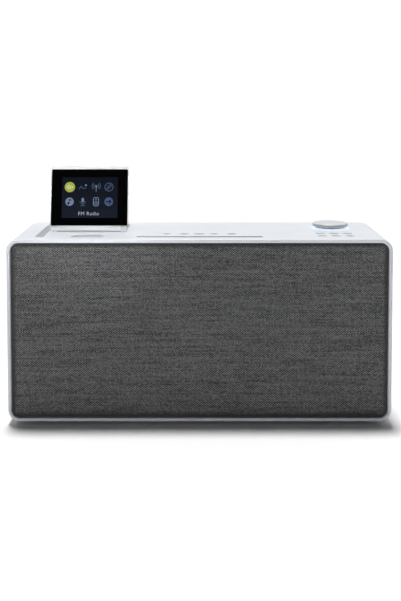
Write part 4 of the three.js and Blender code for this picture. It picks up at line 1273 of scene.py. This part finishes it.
def room_light():
    """White where the camera looks. What lights the scene is bright behind and dark in front."""
    world = bpy.data.worlds.new("room")
    bpy.context.scene.world = world
    world.use_nodes = True
    nodes, links = world.node_tree.nodes, world.node_tree.links
    background = nodes["Background"]
    direct = nodes.new("ShaderNodeLightPath")
    split = nodes.new("ShaderNodeSeparateXYZ")
    links.new(nodes.new("ShaderNodeTexCoord").outputs["Generated"], split.inputs[0])
    behind = nodes.new("ShaderNodeMapRange")
    behind.interpolation_type = "SMOOTHSTEP"
    front_to_back, dark_to_bright = (-0.15, 0.6), (0.02, 0.60)
    for socket, number in zip(behind.inputs[1:5], (*front_to_back, *dark_to_bright)):
        socket.default_value = number
    links.new(split.outputs[1], behind.inputs[0])
    pick = nodes.new("ShaderNodeMix")
    links.new(direct.outputs["Is Camera Ray"], pick.inputs[0])
    links.new(behind.outputs[0], pick.inputs[2])
    pick.inputs[3].default_value = 1.0
    background.inputs[0].default_value = (1.0, 1.0, 1.0, 1.0)
    links.new(pick.outputs[0], background.inputs[1])


def studio():
    """A pale floor, a soft sun from above, and two weak lamps in front."""
    floor_mesh = bpy.data.meshes.new("floor")
    reach = 12.0
    corners = [(-reach, -reach, 0), (reach, -reach, 0), (reach, reach, 0), (-reach, reach, 0)]
    floor_mesh.from_pydata(corners, [], [(0, 1, 2, 3)])
    paint = Look("floor_paint", (0.93, 0.93, 0.93), 0.7, specular_ior_level=0.2)
    mottle = paint.noise(300.0)
    paint.feed("Base Color", paint.blend(mottle, (0.92, 0.92, 0.92), (0.94, 0.94, 0.94)))
    floor_mesh.materials.append(paint.material)
    placed("floor", floor_mesh)
    room_light()

    lamp("overhead", "SUN", 3.15, (-0.08, 0.267, 2.0), (0, 0, 0), angle=math.radians(9.6))
    lamp("low_softbox", "AREA", 2.6, (-0.35, -1.25, 0.08), (0, 0, 0.12), size=0.14)

    # Narrow enough to light the display and its hinge alone, and not to show in the glass.
    narrow = {"size": 0.1, "spread": math.radians(14)}
    place, target = (-0.14, -1.2, 0.40), (-0.13, 0.05, 0.235)
    lamp("display_softbox", "AREA", 0.052, place, target, **narrow).visible_glossy = False

    view = bpy.context.scene.view_settings
    view.view_transform = "Standard"
    view.look = "None"


# ---- The whole ----

slot_of = {part["node"]: part["material_slot"] for part in frame["record"]["subparts"]}
for node_name, node in frame["nodes"].items():
    for place in node.material_slots:
        place.material = SLOT_LOOKS[slot_of[node_name]]

camera()
studio()
cabinet()
feet()
grille()
display_case()
cover_glass()
screen_symbols()
caption()
hinge_lugs()
push_caps()
control_dial()
glow_ring()
rear_cover()
port_flare()
mains_socket()
signal_sockets()
antenna()
